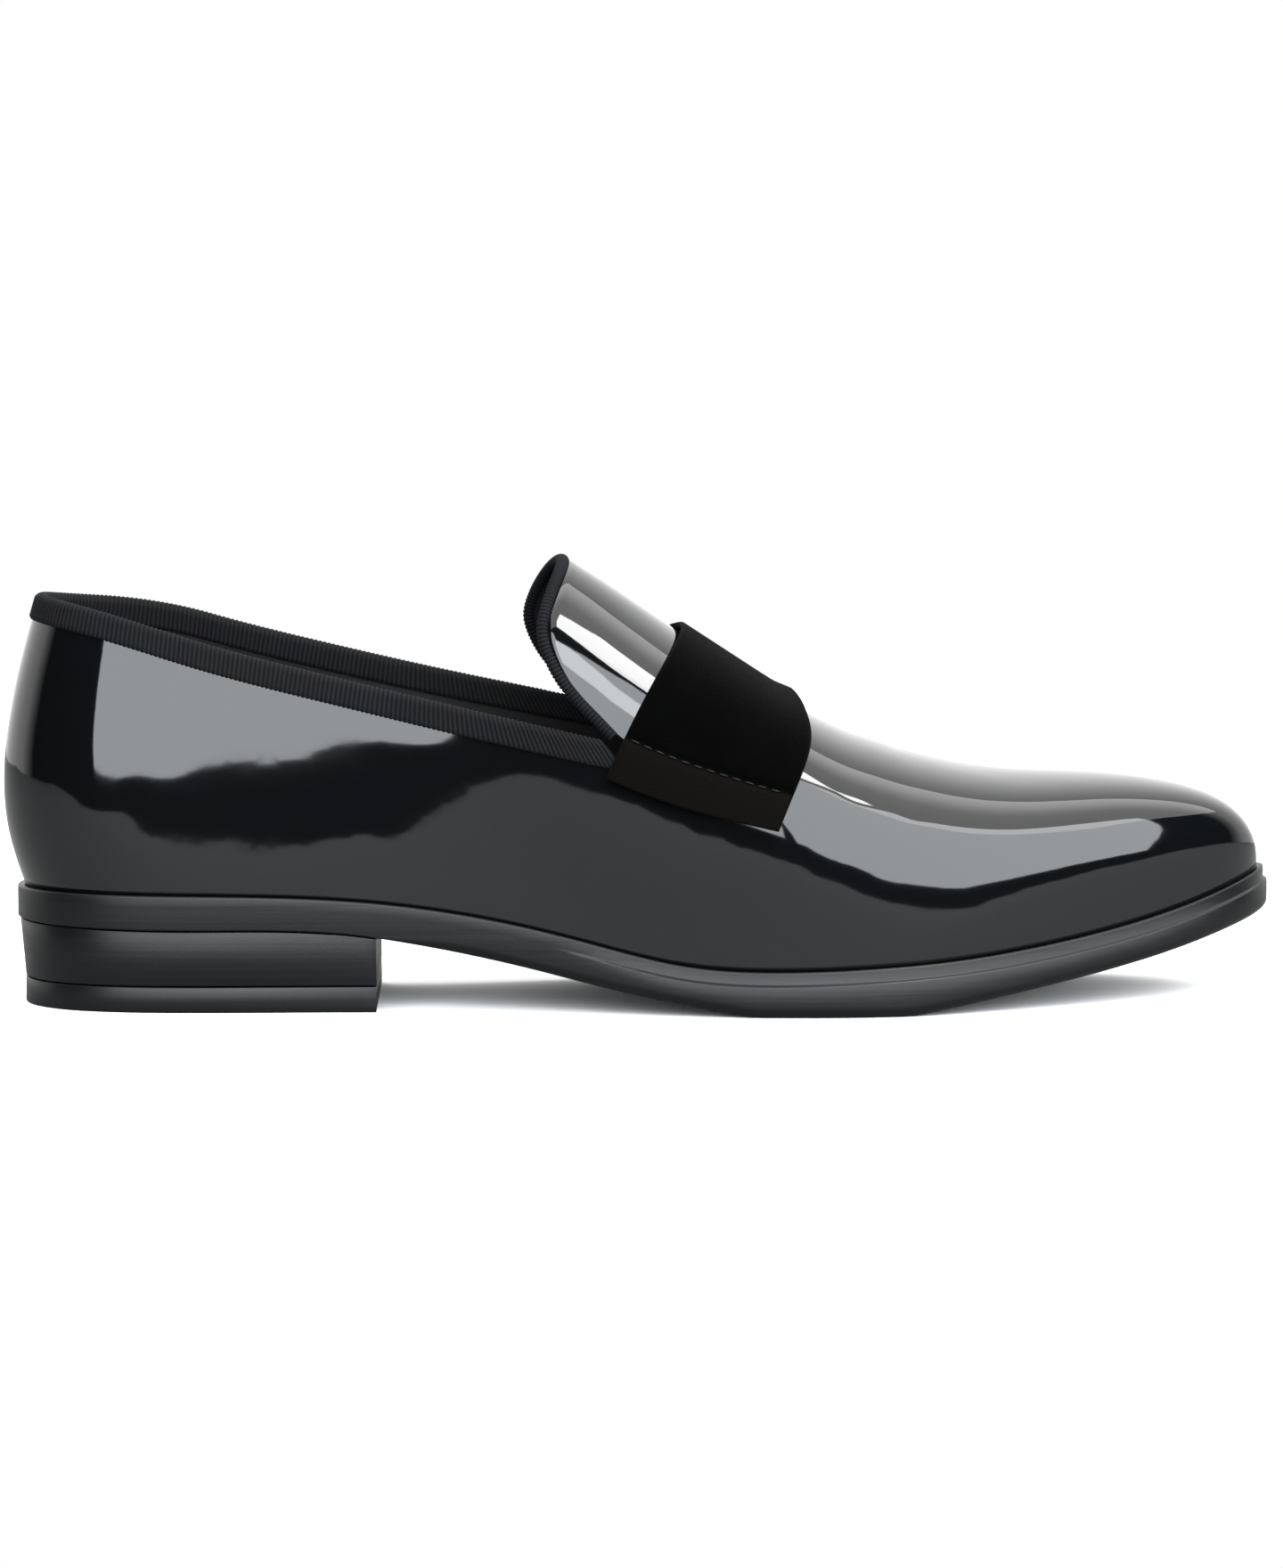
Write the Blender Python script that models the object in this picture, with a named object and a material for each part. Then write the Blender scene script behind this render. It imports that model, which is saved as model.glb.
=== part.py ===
"""Black patent leather loafer with a velvet strap, a right shoe standing empty on its sole.

The frame is in metres. X runs from heel to toe, Y towards the inner (medial) side and Z up.
While the pieces are shaped, X starts at the back of the shoe. The finished shoe is then moved
so that the origin is under the middle of its box, on the floor.

All pieces follow one form, the last. A place on it is a station (distance from the back)
and a girth angle, from 0 at the outer feather edge over the ridge to pi at the inner one.
"""

import functools
import math

import bmesh
import bpy
import numpy as np

# Driving sizes
SHOE_LENGTH = 0.300
BALL_WIDTH = 0.096
INSTEP_HEIGHT = 0.104
HEEL_HEIGHT = 0.028
COLLAR_HEIGHT = 0.096

# Upper
WALL = 0.0020
MEDIAL_RISE = 0.0045
MEDIAL_RISE_REACH = 0.33
NOTCH_STATION = 0.143
HEEL_CURVE_REACH = 0.090
HEEL_ROUNDNESS = 9.0
TOE_ROUNDNESS = 4.0

# Collar binding, tab piping and strap
BINDING_DEPTH = 0.0060
BINDING_PROUD = 0.0005
PIPING_WIDTH = 0.0027
STRAP_THICKNESS = 0.0016

# Sole and heel
LIP_WIDTH = 0.0016
STEP_WIDTH = 0.0009
STEP_DROP = 0.0030
STEP_START = 0.42
STEP_REACH = 0.10
SOLE_EDGE_RADIUS = 0.0026
SEAT_EDGE_RADIUS = 0.0004
SEAT_EDGE_REACH = 0.020
HEEL_LENGTH = 0.0865
HEEL_TAPER = 0.0012
HEEL_SET_IN = 0.0006
BREAST_SKEW = 0.0030
TOP_PIECE_THICKNESS = 0.0060
INSOLE_THICKNESS = 0.0030

# Gap between neighbouring pieces
CLEARANCE = 0.0003
INSOLE_CLEARANCE = 0.0008
NOTCH_CLEARANCE = 0.0012

# Fineness of the meshes
COLUMNS = 72
UPPER_ROWS = 14
STRAP_COLUMNS = 26
STRAP_ROWS = 8
EDGE_COLUMNS = 30

LAST_LENGTH = SHOE_LENGTH - LIP_WIDTH - 0.5 * STEP_WIDTH
HALF_LAST = LAST_LENGTH / 2.0

# Layout of the upper's grid: places on the way round from the back (0) to the toe (1)
NOTCH_COLUMN = 0.5
NOTCH_ROUNDING = 0.012
NOTCH_REACH = 0.2
NOTCH_BLEND = 0.06
SWEEP_START = 0.15
SWEEP_REACH = 0.25
BINDING_END = 0.492
PIPING_START = 0.53

# How far a column runs square to the topline, as a share of its length, and its greatest lean in radians
ARRIVAL = 0.45
COLUMN_LEAN = 1.25

# Sections of the last: station as a share of the last's length, half width, centre line and ridge
# line as shares of the ball width, rise over the feather edge as a share of the instep height.
SECTION_COLUMNS = ("station", "half_width", "centre", "ridge", "rise", "side_fullness", "top_fullness")
SECTIONS = (
    (0.000, 0.312, 0.000, 0.000, 0.960, 0.06, 0.00),
    (0.150, 0.316, -0.005, 0.000, 0.955, 0.06, 0.00),
    (0.320, 0.314, -0.023, 0.010, 0.915, 0.12, 0.00),
    (0.403, 0.344, -0.035, 0.021, 0.862, 0.18, 0.00),
    (0.487, 0.396, -0.040, 0.031, 0.780, 0.19, 0.00),
    (0.570, 0.458, -0.028, 0.036, 0.656, 0.18, 0.02),
    (0.638, 0.496, -0.010, 0.031, 0.536, 0.16, 0.04),
    (0.705, 0.503, 0.008, 0.026, 0.454, 0.13, 0.05),
    (0.789, 0.460, 0.028, 0.021, 0.393, 0.14, 0.05),
    (0.889, 0.389, 0.042, 0.010, 0.382, 0.15, 0.05),
    (0.956, 0.354, 0.047, 0.003, 0.384, 0.15, 0.05),
    (1.000, 0.344, 0.052, 0.000, 0.400, 0.15, 0.05),
)

# Height of the feather edge and of the sole's underside, as shares of the heel height
PROFILE_COLUMNS = ("station", "feather", "underside")
PROFILE = (
    (0.000, 1.000, 0.725),
    (0.135, 0.986, 0.689),
    (0.285, 0.925, 0.629),
    (0.340, 0.855, 0.521),
    (0.400, 0.740, 0.386),
    (0.455, 0.600, 0.243),
    (0.520, 0.440, 0.100),
    (0.600, 0.390, -0.025),
    (0.680, 0.420, -0.020),
    (0.735, 0.460, 0.060),
    (0.815, 0.565, 0.205),
    (0.915, 0.785, 0.425),
    (0.975, 0.985, 0.605),
    (1.000, 1.080, 0.686),
)

# Curve of the back: how far it is set in, as a share of the heel height, over the collar height
HEEL_CURVE_COLUMNS = ("height", "set_in")
HEEL_CURVE = (
    (0.29, 0.172),
    (0.40, 0.055),
    (0.52, 0.004),
    (0.68, 0.045),
    (0.83, 0.150),
    (1.00, 0.310),
)

# Collar line on the outer side: station as a share of the notch's station, height of the collar height
COLLAR_COLUMNS = ("station", "height")
COLLAR = (
    (0.00, 1.000),
    (0.14, 0.962),
    (0.32, 0.891),
    (0.56, 0.802),
    (0.80, 0.717),
    (1.00, 0.652),
)

# Edge of the vamp's tab from the notch to its top: station as a share of the notch's station,
# height as a share of the way up from the collar's end to the instep height
TAB_COLUMNS = ("along", "station", "height")
TAB = (
    (0.00, 1.000, 0.000),
    (0.22, 0.950, 0.176),
    (0.42, 0.905, 0.357),
    (0.62, 0.877, 0.578),
    (0.81, 0.888, 0.794),
    (1.00, 0.923, 1.000),
)

# Strap: girth angle in degrees, stations of its rear and front edge as shares of the last's length
STRAP_EDGE_COLUMNS = ("angle", "rear", "front")
STRAP_EDGES = (
    (28.0, 0.468, 0.599),
    (55.0, 0.507, 0.624),
    (90.0, 0.532, 0.622),
    (125.0, 0.507, 0.624),
    (152.0, 0.468, 0.599),
)


def column(table, names, name):
    """Return one named column of a table."""
    return np.array([row[names.index(name)] for row in table])


@functools.lru_cache(maxsize=None)
def spline_bends(knots, values):
    """Second derivatives of the natural cubic spline at its knots."""
    gap = np.diff(knots)
    slope = np.diff(values) / gap
    system = np.eye(len(knots))
    right = np.zeros(len(knots))
    for i in range(1, len(knots) - 1):
        system[i, i - 1:i + 2] = gap[i - 1], 2.0 * (gap[i - 1] + gap[i]), gap[i]
        right[i] = 6.0 * (slope[i] - slope[i - 1])
    return np.linalg.solve(system, right)


def spline(knots, values, at):
    """Evaluate the natural cubic spline through the knots, straight beyond its ends."""
    gap = np.diff(knots)
    slope = np.diff(values) / gap
    bend = spline_bends(tuple(knots), tuple(values))
    inside = np.clip(at, knots[0], knots[-1])
    i = np.clip(np.searchsorted(knots, inside) - 1, 0, len(knots) - 2)
    after = (inside - knots[i]) / gap[i]
    before = 1.0 - after
    curve = (before ** 3 - before) * bend[i] + (after ** 3 - after) * bend[i + 1]
    value = before * values[i] + after * values[i + 1] + curve * gap[i] ** 2 / 6.0
    first = slope[0] - gap[0] * bend[1] / 6.0
    last = slope[-1] + gap[-1] * bend[-2] / 6.0
    return value + first * np.minimum(at - knots[0], 0.0) + last * np.maximum(at - knots[-1], 0.0)


def section_value(name, station):
    """Read one column of the section table at a station."""
    knots = column(SECTIONS, SECTION_COLUMNS, "station") * LAST_LENGTH
    return spline(knots, column(SECTIONS, SECTION_COLUMNS, name), station)


def feather_height(station):
    """Height of the edge where upper and sole meet."""
    knots = column(PROFILE, PROFILE_COLUMNS, "station") * SHOE_LENGTH
    return spline(knots, column(PROFILE, PROFILE_COLUMNS, "feather") * HEEL_HEIGHT, station)


def underside_height(station):
    """Height of the sole's underside: arch, flat tread under the ball, and toe spring."""
    knots = column(PROFILE, PROFILE_COLUMNS, "station") * SHOE_LENGTH
    curve = spline(knots, column(PROFILE, PROFILE_COLUMNS, "underside") * HEEL_HEIGHT, station)
    return np.maximum(curve, 0.0)


def heel_set_in(height):
    """How far the back of the last is set in at a height."""
    knots = column(HEEL_CURVE, HEEL_CURVE_COLUMNS, "height") * COLLAR_HEIGHT
    return spline(knots, column(HEEL_CURVE, HEEL_CURVE_COLUMNS, "set_in") * HEEL_HEIGHT, height)


def end_rounding(station):
    """Shares of width and of rise that are left where heel and toe round off."""
    place = np.clip(station / HALF_LAST - 1.0, -1.0, 1.0)
    power = np.where(place < 0.0, HEEL_ROUNDNESS, TOE_ROUNDNESS)
    width_share = np.sqrt(1.0 - np.abs(place) ** power)
    return width_share, np.where(place < 0.0, 1.0, width_share)


def last_point(station, angle):
    """Point of the last's surface at a station and girth angle."""
    width_share, rise_share = end_rounding(station)
    half_width = section_value("half_width", station) * BALL_WIDTH * width_share
    rise = section_value("rise", station) * INSTEP_HEIGHT * rise_share
    side = section_value("side_fullness", station)
    top = section_value("top_fullness", station)
    across = (1.0 + side) * np.cos(angle) - side * np.cos(3.0 * angle)
    up = (1.0 + top) * np.sin(angle) + top * np.sin(3.0 * angle)
    centre = section_value("centre", station) * BALL_WIDTH
    ridge = section_value("ridge", station) * BALL_WIDTH
    y = centre + ridge * up ** 2 - half_width * across
    z = feather_height(station) + rise * up
    fade = np.clip(1.0 - station / HEEL_CURVE_REACH, 0.0, 1.0) ** 2
    x = station + heel_set_in(z) * fade
    return np.stack([x, y, z], axis=-1)


def angle_at_height(station, height):
    """Girth angle on the outer side at which the last reaches a height."""
    rise = section_value("rise", station) * INSTEP_HEIGHT * end_rounding(station)[1]
    top = section_value("top_fullness", station)
    wanted = np.clip((height - feather_height(station)) / rise, 0.0, 1.0)
    angle = np.arcsin(wanted)
    for _ in range(6):
        up = (1.0 + top) * np.sin(angle) + top * np.sin(3.0 * angle)
        pitch = (1.0 + top) * np.cos(angle) + 3.0 * top * np.cos(3.0 * angle)
        angle = angle - (up - wanted) / np.maximum(pitch, 0.05)
    return angle


def ease(value):
    """Smooth step from 0 to 1."""
    share = np.clip(value, 0.0, 1.0)
    return share * share * (3.0 - 2.0 * share)


def collar_line(share, medial):
    """Station and girth angle of the collar, by the share of the way from back to notch."""
    station = NOTCH_STATION * (1.0 - np.cos(0.5 * math.pi * share))
    knots = column(COLLAR, COLLAR_COLUMNS, "station") * NOTCH_STATION
    height = spline(knots, column(COLLAR, COLLAR_COLUMNS, "height") * COLLAR_HEIGHT, station)
    height = height + medial * MEDIAL_RISE * ease(station / (MEDIAL_RISE_REACH * NOTCH_STATION))
    angle = angle_at_height(station, height)
    return station, np.where(medial, math.pi - angle, angle)


def tab_line(share, medial):
    """Station and girth angle of the tab's edge, by the share of the way from notch to top."""
    along = column(TAB, TAB_COLUMNS, "along")
    station = column(TAB, TAB_COLUMNS, "station") * NOTCH_STATION
    lowest = COLLAR[-1][1] * COLLAR_HEIGHT
    height = lowest + column(TAB, TAB_COLUMNS, "height") * (INSTEP_HEIGHT - lowest)
    outer = angle_at_height(station, height)
    inner = angle_at_height(station, height + MEDIAL_RISE * (1.0 - along) ** 2)
    outer[-1] = inner[-1] = 0.5 * math.pi
    knots = np.concatenate([along, 2.0 - along[-2::-1]])
    stations = np.concatenate([station, station[-2::-1]])
    angles = np.concatenate([outer, math.pi - inner[-2::-1]])
    place = np.where(medial, 2.0 - share, share)
    return spline(knots, stations, place), spline(knots, angles, place)


def ball_direction(station, angle):
    """Direction on a unit ball that stands for a place on the last, with no pole on the vamp."""
    along = np.clip(station / HALF_LAST - 1.0, -1.0, 1.0)
    radius = np.sqrt(1.0 - along ** 2)
    return np.stack([along, -radius * np.cos(angle), radius * np.sin(angle)], axis=-1)


def raw_topline(turn):
    """Station and girth angle of the topline, with a sharp notch where collar and tab meet."""
    turn = (turn + 1.0) % 2.0 - 1.0
    medial = turn > 0.0
    share = np.abs(turn)
    collar = collar_line(np.minimum(share / NOTCH_COLUMN, 1.0), medial)
    tab = tab_line(np.clip((share - NOTCH_COLUMN) / (1.0 - NOTCH_COLUMN), 0.0, 1.0), medial)
    on_collar = share <= NOTCH_COLUMN
    return np.where(on_collar, collar[0], tab[0]), np.where(on_collar, collar[1], tab[1])


def topline(turn):
    """Station and girth angle of the topline, with its notch rounded by a local average."""
    share = np.abs((turn + 1.0) % 2.0 - 1.0)
    reach = NOTCH_ROUNDING * (1.0 - ease(np.abs(share - NOTCH_COLUMN) / NOTCH_REACH))
    station = 0.0
    angle = 0.0
    for offset, weight in zip((-2.0, -1.0, 0.0, 1.0, 2.0), (0.1, 0.25, 0.3, 0.25, 0.1)):
        place = raw_topline(turn + offset * reach)
        station = station + weight * place[0]
        angle = angle + weight * place[1]
    return station, angle


def dot(first, second):
    """Scalar product of vectors, kept as a last axis of one."""
    return np.sum(first * second, axis=-1, keepdims=True)


def arrival_direction(turn, start, end):
    """Direction square to the topline on the unit ball, kept from leaning far off the way to the foot."""
    step = 2e-3
    along = ball_direction(*topline(turn + step)) - ball_direction(*topline(turn - step))
    square = np.cross(end, along)
    toward = start - dot(start, end) * end
    toward = toward / np.maximum(np.linalg.norm(toward, axis=-1, keepdims=True), 1e-9)
    sideways = np.cross(end, toward)
    lean = np.arctan2(dot(square, sideways), dot(square, toward))
    lean = COLUMN_LEAN * np.tanh(lean / COLUMN_LEAN)
    return np.cos(lean) * toward + np.sin(lean) * sideways


def arc_to_topline(turn, foot, foot_angle, climb):
    """Place on a curve that leaves the feather edge and meets the topline as squarely as it may."""
    start = ball_direction(foot, foot_angle)
    end = ball_direction(*topline(turn))
    inward = arrival_direction(turn, start, end)
    sweep = np.arccos(np.clip(dot(start, end), -1.0, 1.0))
    middle = np.cos(ARRIVAL * sweep) * end + np.sin(ARRIVAL * sweep) * inward
    up = climb[..., None]
    mix = (1.0 - up) ** 2 * start + 2.0 * up * (1.0 - up) * middle + up ** 2 * end
    mix = mix / np.maximum(np.linalg.norm(mix, axis=-1, keepdims=True), 1e-9)
    return HALF_LAST * (1.0 + mix[..., 0]), np.arctan2(np.maximum(mix[..., 2], 0.0), -mix[..., 1])


def place_on_last(turn, climb):
    """Station and girth angle of a place on the upper.

    turn runs from -1 at the toe along the outer side to 0 at the back and 1 at the toe again.
    climb runs from 0 at the feather edge to 1 at the topline.
    """
    turn, climb = np.broadcast_arrays(turn, climb)
    turn = (turn + 1.0) % 2.0 - 1.0
    share = np.abs(turn)
    foot = HALF_LAST * (1.0 - np.cos(math.pi * share))
    foot_angle = np.where(turn > 0.0, math.pi, 0.0)
    edge, edge_angle = topline(turn)
    straight = foot + (edge - foot) * climb
    straight_angle = foot_angle + (edge_angle - foot_angle) * climb
    swept, swept_angle = arc_to_topline(turn, foot, foot_angle, climb)
    blend = ease((share - SWEEP_START) / SWEEP_REACH)
    station = straight + (swept - straight) * blend
    return station, straight_angle + (swept_angle - straight_angle) * blend


def upper_point(turn, climb):
    """Point of the upper's outer face."""
    return last_point(*place_on_last(turn, climb))


def unit(vectors):
    """Scale vectors to length one."""
    return vectors / np.linalg.norm(vectors, axis=-1, keepdims=True)


def upper_normal(turn, climb):
    """Outward normal of the upper's outer face."""
    step = 1e-4
    low = np.maximum(climb - step, 0.0)
    along = upper_point(turn + step, climb) - upper_point(turn - step, climb)
    upward = upper_point(turn, climb + step) - upper_point(turn, low)
    return unit(np.cross(upward, along))


def last_normal(station, angle):
    """Outward normal of the last, away from its ends."""
    step = 1e-4
    move = step * LAST_LENGTH
    forward = last_point(station + move, angle) - last_point(station - move, angle)
    over = last_point(station, angle + step) - last_point(station, angle - step)
    return unit(np.cross(forward, over))


def climb_below_topline(turn, down):
    """Climb at which a column lies a distance below the topline, measured square to it."""
    step = 1e-4
    back = 0.02
    along = upper_point(turn + step, 1.0) - upper_point(turn - step, 1.0)
    upward = (upper_point(turn, 1.0) - upper_point(turn, 1.0 - back)) / back
    rate = np.linalg.norm(np.cross(unit(along), upward), axis=-1)
    return 1.0 - down / rate


def near_topline(turn, down, out):
    """Point at a distance down from the topline and a distance out of the upper's face."""
    climb = climb_below_topline(turn, down)
    return upper_point(turn, climb) + upper_normal(turn, climb) * np.asarray(out)[..., None]


def feather_line(turn, outset):
    """Point of the sole's outline, set out from the upper's feather edge in plan."""
    out = upper_normal(turn, 0.0) * (1.0, 1.0, 0.0)
    return upper_point(turn, 0.0) + unit(out) * np.asarray(outset)[..., None]


def new_object(name, vertices, faces, material):
    """Make one named object from vertices and faces, with consistent outward normals."""
    mesh = bpy.data.meshes.new(name)
    mesh.from_pydata([tuple(vertex) for vertex in vertices], [], faces)
    work = bmesh.new()
    work.from_mesh(mesh)
    bmesh.ops.recalc_face_normals(work, faces=work.faces)
    work.to_mesh(mesh)
    work.free()
    mesh.shade_smooth()
    mesh.set_sharp_from_angle(angle=math.radians(35.0))
    mesh.materials.append(material)
    shoe_piece = bpy.data.objects.new(name, mesh)
    bpy.context.scene.collection.objects.link(shoe_piece)
    return shoe_piece


def new_material(name, colour, roughness, metallic=0.0):
    """Make a Principled material."""
    material = bpy.data.materials.new(name)
    material.use_nodes = True
    shader = material.node_tree.nodes["Principled BSDF"]
    shader.inputs["Base Color"].default_value = (*colour, 1.0)
    shader.inputs["Roughness"].default_value = roughness
    shader.inputs["Metallic"].default_value = metallic
    material.diffuse_color = (*colour, 1.0)
    return material


def bridge(first, second, count, closed=True):
    """Quads between two rings of vertices that start at the given indices."""
    steps = count if closed else count - 1
    return [(first + i, first + (i + 1) % count, second + (i + 1) % count, second + i)
            for i in range(steps)]


def ring_faces(sections, closed):
    """Faces of a solid swept through rings, joined end to end or capped."""
    count, size = sections.shape[:2]
    faces = []
    for i in range(count if closed else count - 1):
        faces += bridge(i * size, (i + 1) % count * size, size)
    if not closed:
        faces.append(tuple(range(size)))
        faces.append(tuple((count - 1) * size + i for i in reversed(range(size))))
    return faces


def ladder(start, count):
    """Fill an outline whose vertices pair up left and right behind its first one."""
    half = count // 2
    faces = [(start, start + 1, start + count - 1)]
    for i in range(1, half):
        left, right = start + i, start + count - i
        if right - 1 > left + 1:
            faces.append((left, left + 1, right - 1, right))
        elif right - 1 == left + 1:
            faces.append((left, left + 1, right))
    return faces


def stack(name, rings, material):
    """Make a solid from outlines stacked from top to bottom."""
    count = len(rings[0])
    faces = ladder(0, count) + ladder((len(rings) - 1) * count, count)
    for i in range(len(rings) - 1):
        faces += bridge(i * count, (i + 1) * count, count)
    return new_object(name, np.concatenate(rings), faces, material)


def outline_turns():
    """Turns around the shoe from the back along the outer side, over the toe and back."""
    return -2.0 * np.arange(COLUMNS) / COLUMNS


def at_height(points, height):
    """Put plan points at a height for each."""
    return np.stack([points[:, 0], points[:, 1], np.broadcast_to(height, len(points))], axis=-1)


def make_upper(material):
    """Hollow shell over the last, open at the collar and underneath."""
    turns = outline_turns()
    share = np.abs((turns + 1.0) % 2.0 - 1.0)
    collar_end = BINDING_DEPTH + CLEARANCE
    tab_end = 0.5 * PIPING_WIDTH + CLEARANCE
    cut = collar_end + (tab_end - collar_end) * ease((share - NOTCH_COLUMN) / NOTCH_BLEND)
    cut = cut + NOTCH_CLEARANCE * (1.0 - ease(np.abs(share - NOTCH_COLUMN) / NOTCH_BLEND))
    top = climb_below_topline(turns, cut)
    outer = []
    inner = []
    for row in np.linspace(0.0, 1.0, UPPER_ROWS + 1):
        points = upper_point(turns, top * row)
        outer.append(points)
        inner.append(points - upper_normal(turns, top * row) * WALL)
    rings = np.array(outer + inner[::-1])
    return new_object("upper", rings.reshape(-1, 3), ring_faces(rings, True), material)


def make_binding(material):
    """Ribbed ribbon folded over the collar, one band that forms its edge."""
    turns = np.linspace(-BINDING_END, BINDING_END, 2 * EDGE_COLUMNS + 1)
    outside = BINDING_PROUD
    inside = -WALL - BINDING_PROUD
    middle = 0.5 * (outside + inside)
    crown = 0.5 * (outside - inside)
    section = (
        (BINDING_DEPTH, outside),
        (0.5 * BINDING_DEPTH, outside),
        (0.7 * crown, outside),
        (0.2 * crown, middle + 0.6 * crown),
        (0.0, middle),
        (0.2 * crown, middle - 0.6 * crown),
        (0.7 * crown, inside),
        (0.5 * BINDING_DEPTH, inside),
        (BINDING_DEPTH, inside),
    )
    rings = np.stack([near_topline(turns, down, out) for down, out in section], axis=1)
    return new_object("collar_binding", rings.reshape(-1, 3), ring_faces(rings, False), material)


def make_piping(material):
    """Thin covered cord along the edge of the vamp's tab."""
    turns = np.linspace(PIPING_START, 2.0 - PIPING_START, 2 * EDGE_COLUMNS + 1)
    middle = near_topline(turns, 0.0, -0.5 * WALL)
    out = upper_normal(turns, 1.0)
    along = unit(np.gradient(middle, axis=0))
    down = np.cross(along, out)
    radius = 0.5 * PIPING_WIDTH
    sides = 8
    rings = []
    for i in range(sides):
        angle = 2.0 * math.pi * i / sides
        rings.append(middle + radius * (math.cos(angle) * out + math.sin(angle) * down))
    rings = np.stack(rings, axis=1)
    return new_object("tab_piping", rings.reshape(-1, 3), ring_faces(rings, False), material)


def make_strap(material):
    """Velvet strap over the vamp, a skin between two forms of the last."""
    knots = np.radians(column(STRAP_EDGES, STRAP_EDGE_COLUMNS, "angle"))
    angles = np.linspace(knots[0], knots[-1], STRAP_COLUMNS + 1)
    rear = spline(knots, column(STRAP_EDGES, STRAP_EDGE_COLUMNS, "rear"), angles) * LAST_LENGTH
    front = spline(knots, column(STRAP_EDGES, STRAP_EDGE_COLUMNS, "front"), angles) * LAST_LENGTH
    shares = np.linspace(0.0, 1.0, STRAP_ROWS + 1)
    low = BINDING_PROUD + CLEARANCE
    under = []
    over = []
    for share in shares:
        station = rear + (front - rear) * share
        points = last_point(station, angles)
        normal = last_normal(station, angles)
        under.append(points + normal * low)
        over.append(points + normal * (low + STRAP_THICKNESS))
    rings = np.stack(under + over[::-1], axis=1)
    return new_object("vamp_strap", rings.reshape(-1, 3), ring_faces(rings, False), material)


def make_insole(material):
    """Thin footbed inside the upper, on the sole."""
    plan = feather_line(outline_turns(), -WALL - INSOLE_CLEARANCE)
    seat = feather_height(plan[:, 0])
    rings = [at_height(plan, seat + INSOLE_THICKNESS), at_height(plan, seat)]
    return stack("insole", rings, material)


def sole_step(station):
    """How far the sole's side stands out below its lip, from the arch forward."""
    return STEP_WIDTH * ease((station / SHOE_LENGTH - STEP_START) / STEP_REACH)


def sole_edge_radius(station):
    """Rounding of the sole's lower edge: nearly sharp over the heel, full in front of it."""
    forward = ease((station - HEEL_LENGTH) / SEAT_EDGE_REACH)
    return SEAT_EDGE_RADIUS + (SOLE_EDGE_RADIUS - SEAT_EDGE_RADIUS) * forward


def make_outsole(material):
    """Moulded sole with a welt-like step in its side, an arch and toe spring."""
    turns = outline_turns()
    inner = feather_line(turns, -WALL)
    lip = feather_line(turns, LIP_WIDTH)
    step = sole_step(lip[:, 0])
    wide = feather_line(turns, LIP_WIDTH + step)
    top = feather_height(lip[:, 0]) - CLEARANCE
    bottom = underside_height(wide[:, 0])
    radius = sole_edge_radius(wide[:, 0])
    rings = [
        at_height(inner, feather_height(inner[:, 0]) - CLEARANCE),
        at_height(lip, top),
        at_height(lip, top - STEP_DROP),
        at_height(wide, top - STEP_DROP - 0.5 * STEP_WIDTH),
    ]
    for degrees in (0.0, 30.0, 60.0, 90.0):
        angle = math.radians(degrees)
        ring = feather_line(turns, LIP_WIDTH + step - radius * (1.0 - math.cos(angle)))
        rings.append(at_height(ring, bottom + radius * (1.0 - math.sin(angle))))
    return stack("outsole", rings, material)


def heel_outline(inset):
    """Heel outline in plan, from the back to the breast and round, pairs of outer and inner points."""
    breast = HEEL_LENGTH / HALF_LAST
    last_turn = math.acos(1.0 - breast) / math.pi
    side = np.linspace(0.0, last_turn, 13)
    outer = feather_line(-side, LIP_WIDTH - inset)
    inner = feather_line(side, LIP_WIDTH - inset)
    inner[:, 0] += BREAST_SKEW * (side / last_turn) ** 4
    return np.concatenate([outer, inner[:0:-1]])


def make_heel(material):
    """Heel block under the seat of the sole, tapering slightly to the floor."""
    top = heel_outline(HEEL_SET_IN)
    base = heel_outline(HEEL_SET_IN + HEEL_TAPER)
    rings = [
        at_height(top, underside_height(top[:, 0]) - CLEARANCE),
        at_height(base, TOP_PIECE_THICKNESS + CLEARANCE),
    ]
    return stack("heel", rings, material)


def make_top_piece(material):
    """Wearing layer under the heel block, flat on the floor."""
    top = heel_outline(HEEL_SET_IN + HEEL_TAPER)
    rings = [at_height(top, TOP_PIECE_THICKNESS), at_height(top, 0.0)]
    return stack("heel_top_piece", rings, material)


def centre_on_floor(pieces):
    """Move the shoe so that the origin is under the middle of its box."""
    corners = np.array([vertex.co[:] for piece in pieces for vertex in piece.data.vertices])
    low = corners.min(axis=0)
    high = corners.max(axis=0)
    for piece in pieces:
        piece.location = (-0.5 * (low[0] + high[0]), -0.5 * (low[1] + high[1]), -low[2])


def main():
    """Clear the scene and build the shoe."""
    for old in list(bpy.data.objects):
        bpy.data.objects.remove(old, do_unlink=True)
    patent = new_material("patent leather", (0.004, 0.004, 0.005), 0.06)
    ribbon = new_material("grosgrain ribbon", (0.020, 0.021, 0.024), 0.75)
    velvet = new_material("velvet", (0.003, 0.003, 0.003), 0.95)
    rubber = new_material("moulded rubber", (0.012, 0.013, 0.014), 0.38)
    lining = new_material("lining leather", (0.010, 0.010, 0.010), 0.65)
    pieces = [
        make_upper(patent),
        make_binding(ribbon),
        make_piping(ribbon),
        make_strap(velvet),
        make_insole(lining),
        make_outsole(rubber),
        make_heel(rubber),
        make_top_piece(rubber),
    ]
    centre_on_floor(pieces)


main()
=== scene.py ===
"""The looks of a black patent leather loafer with a velvet strap, as an add-on that is run as a script.

All lengths are in metres, in the frame's own coordinates: X to the toe, Y to the inner side, Z up.
"""

import functools
import math

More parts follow.
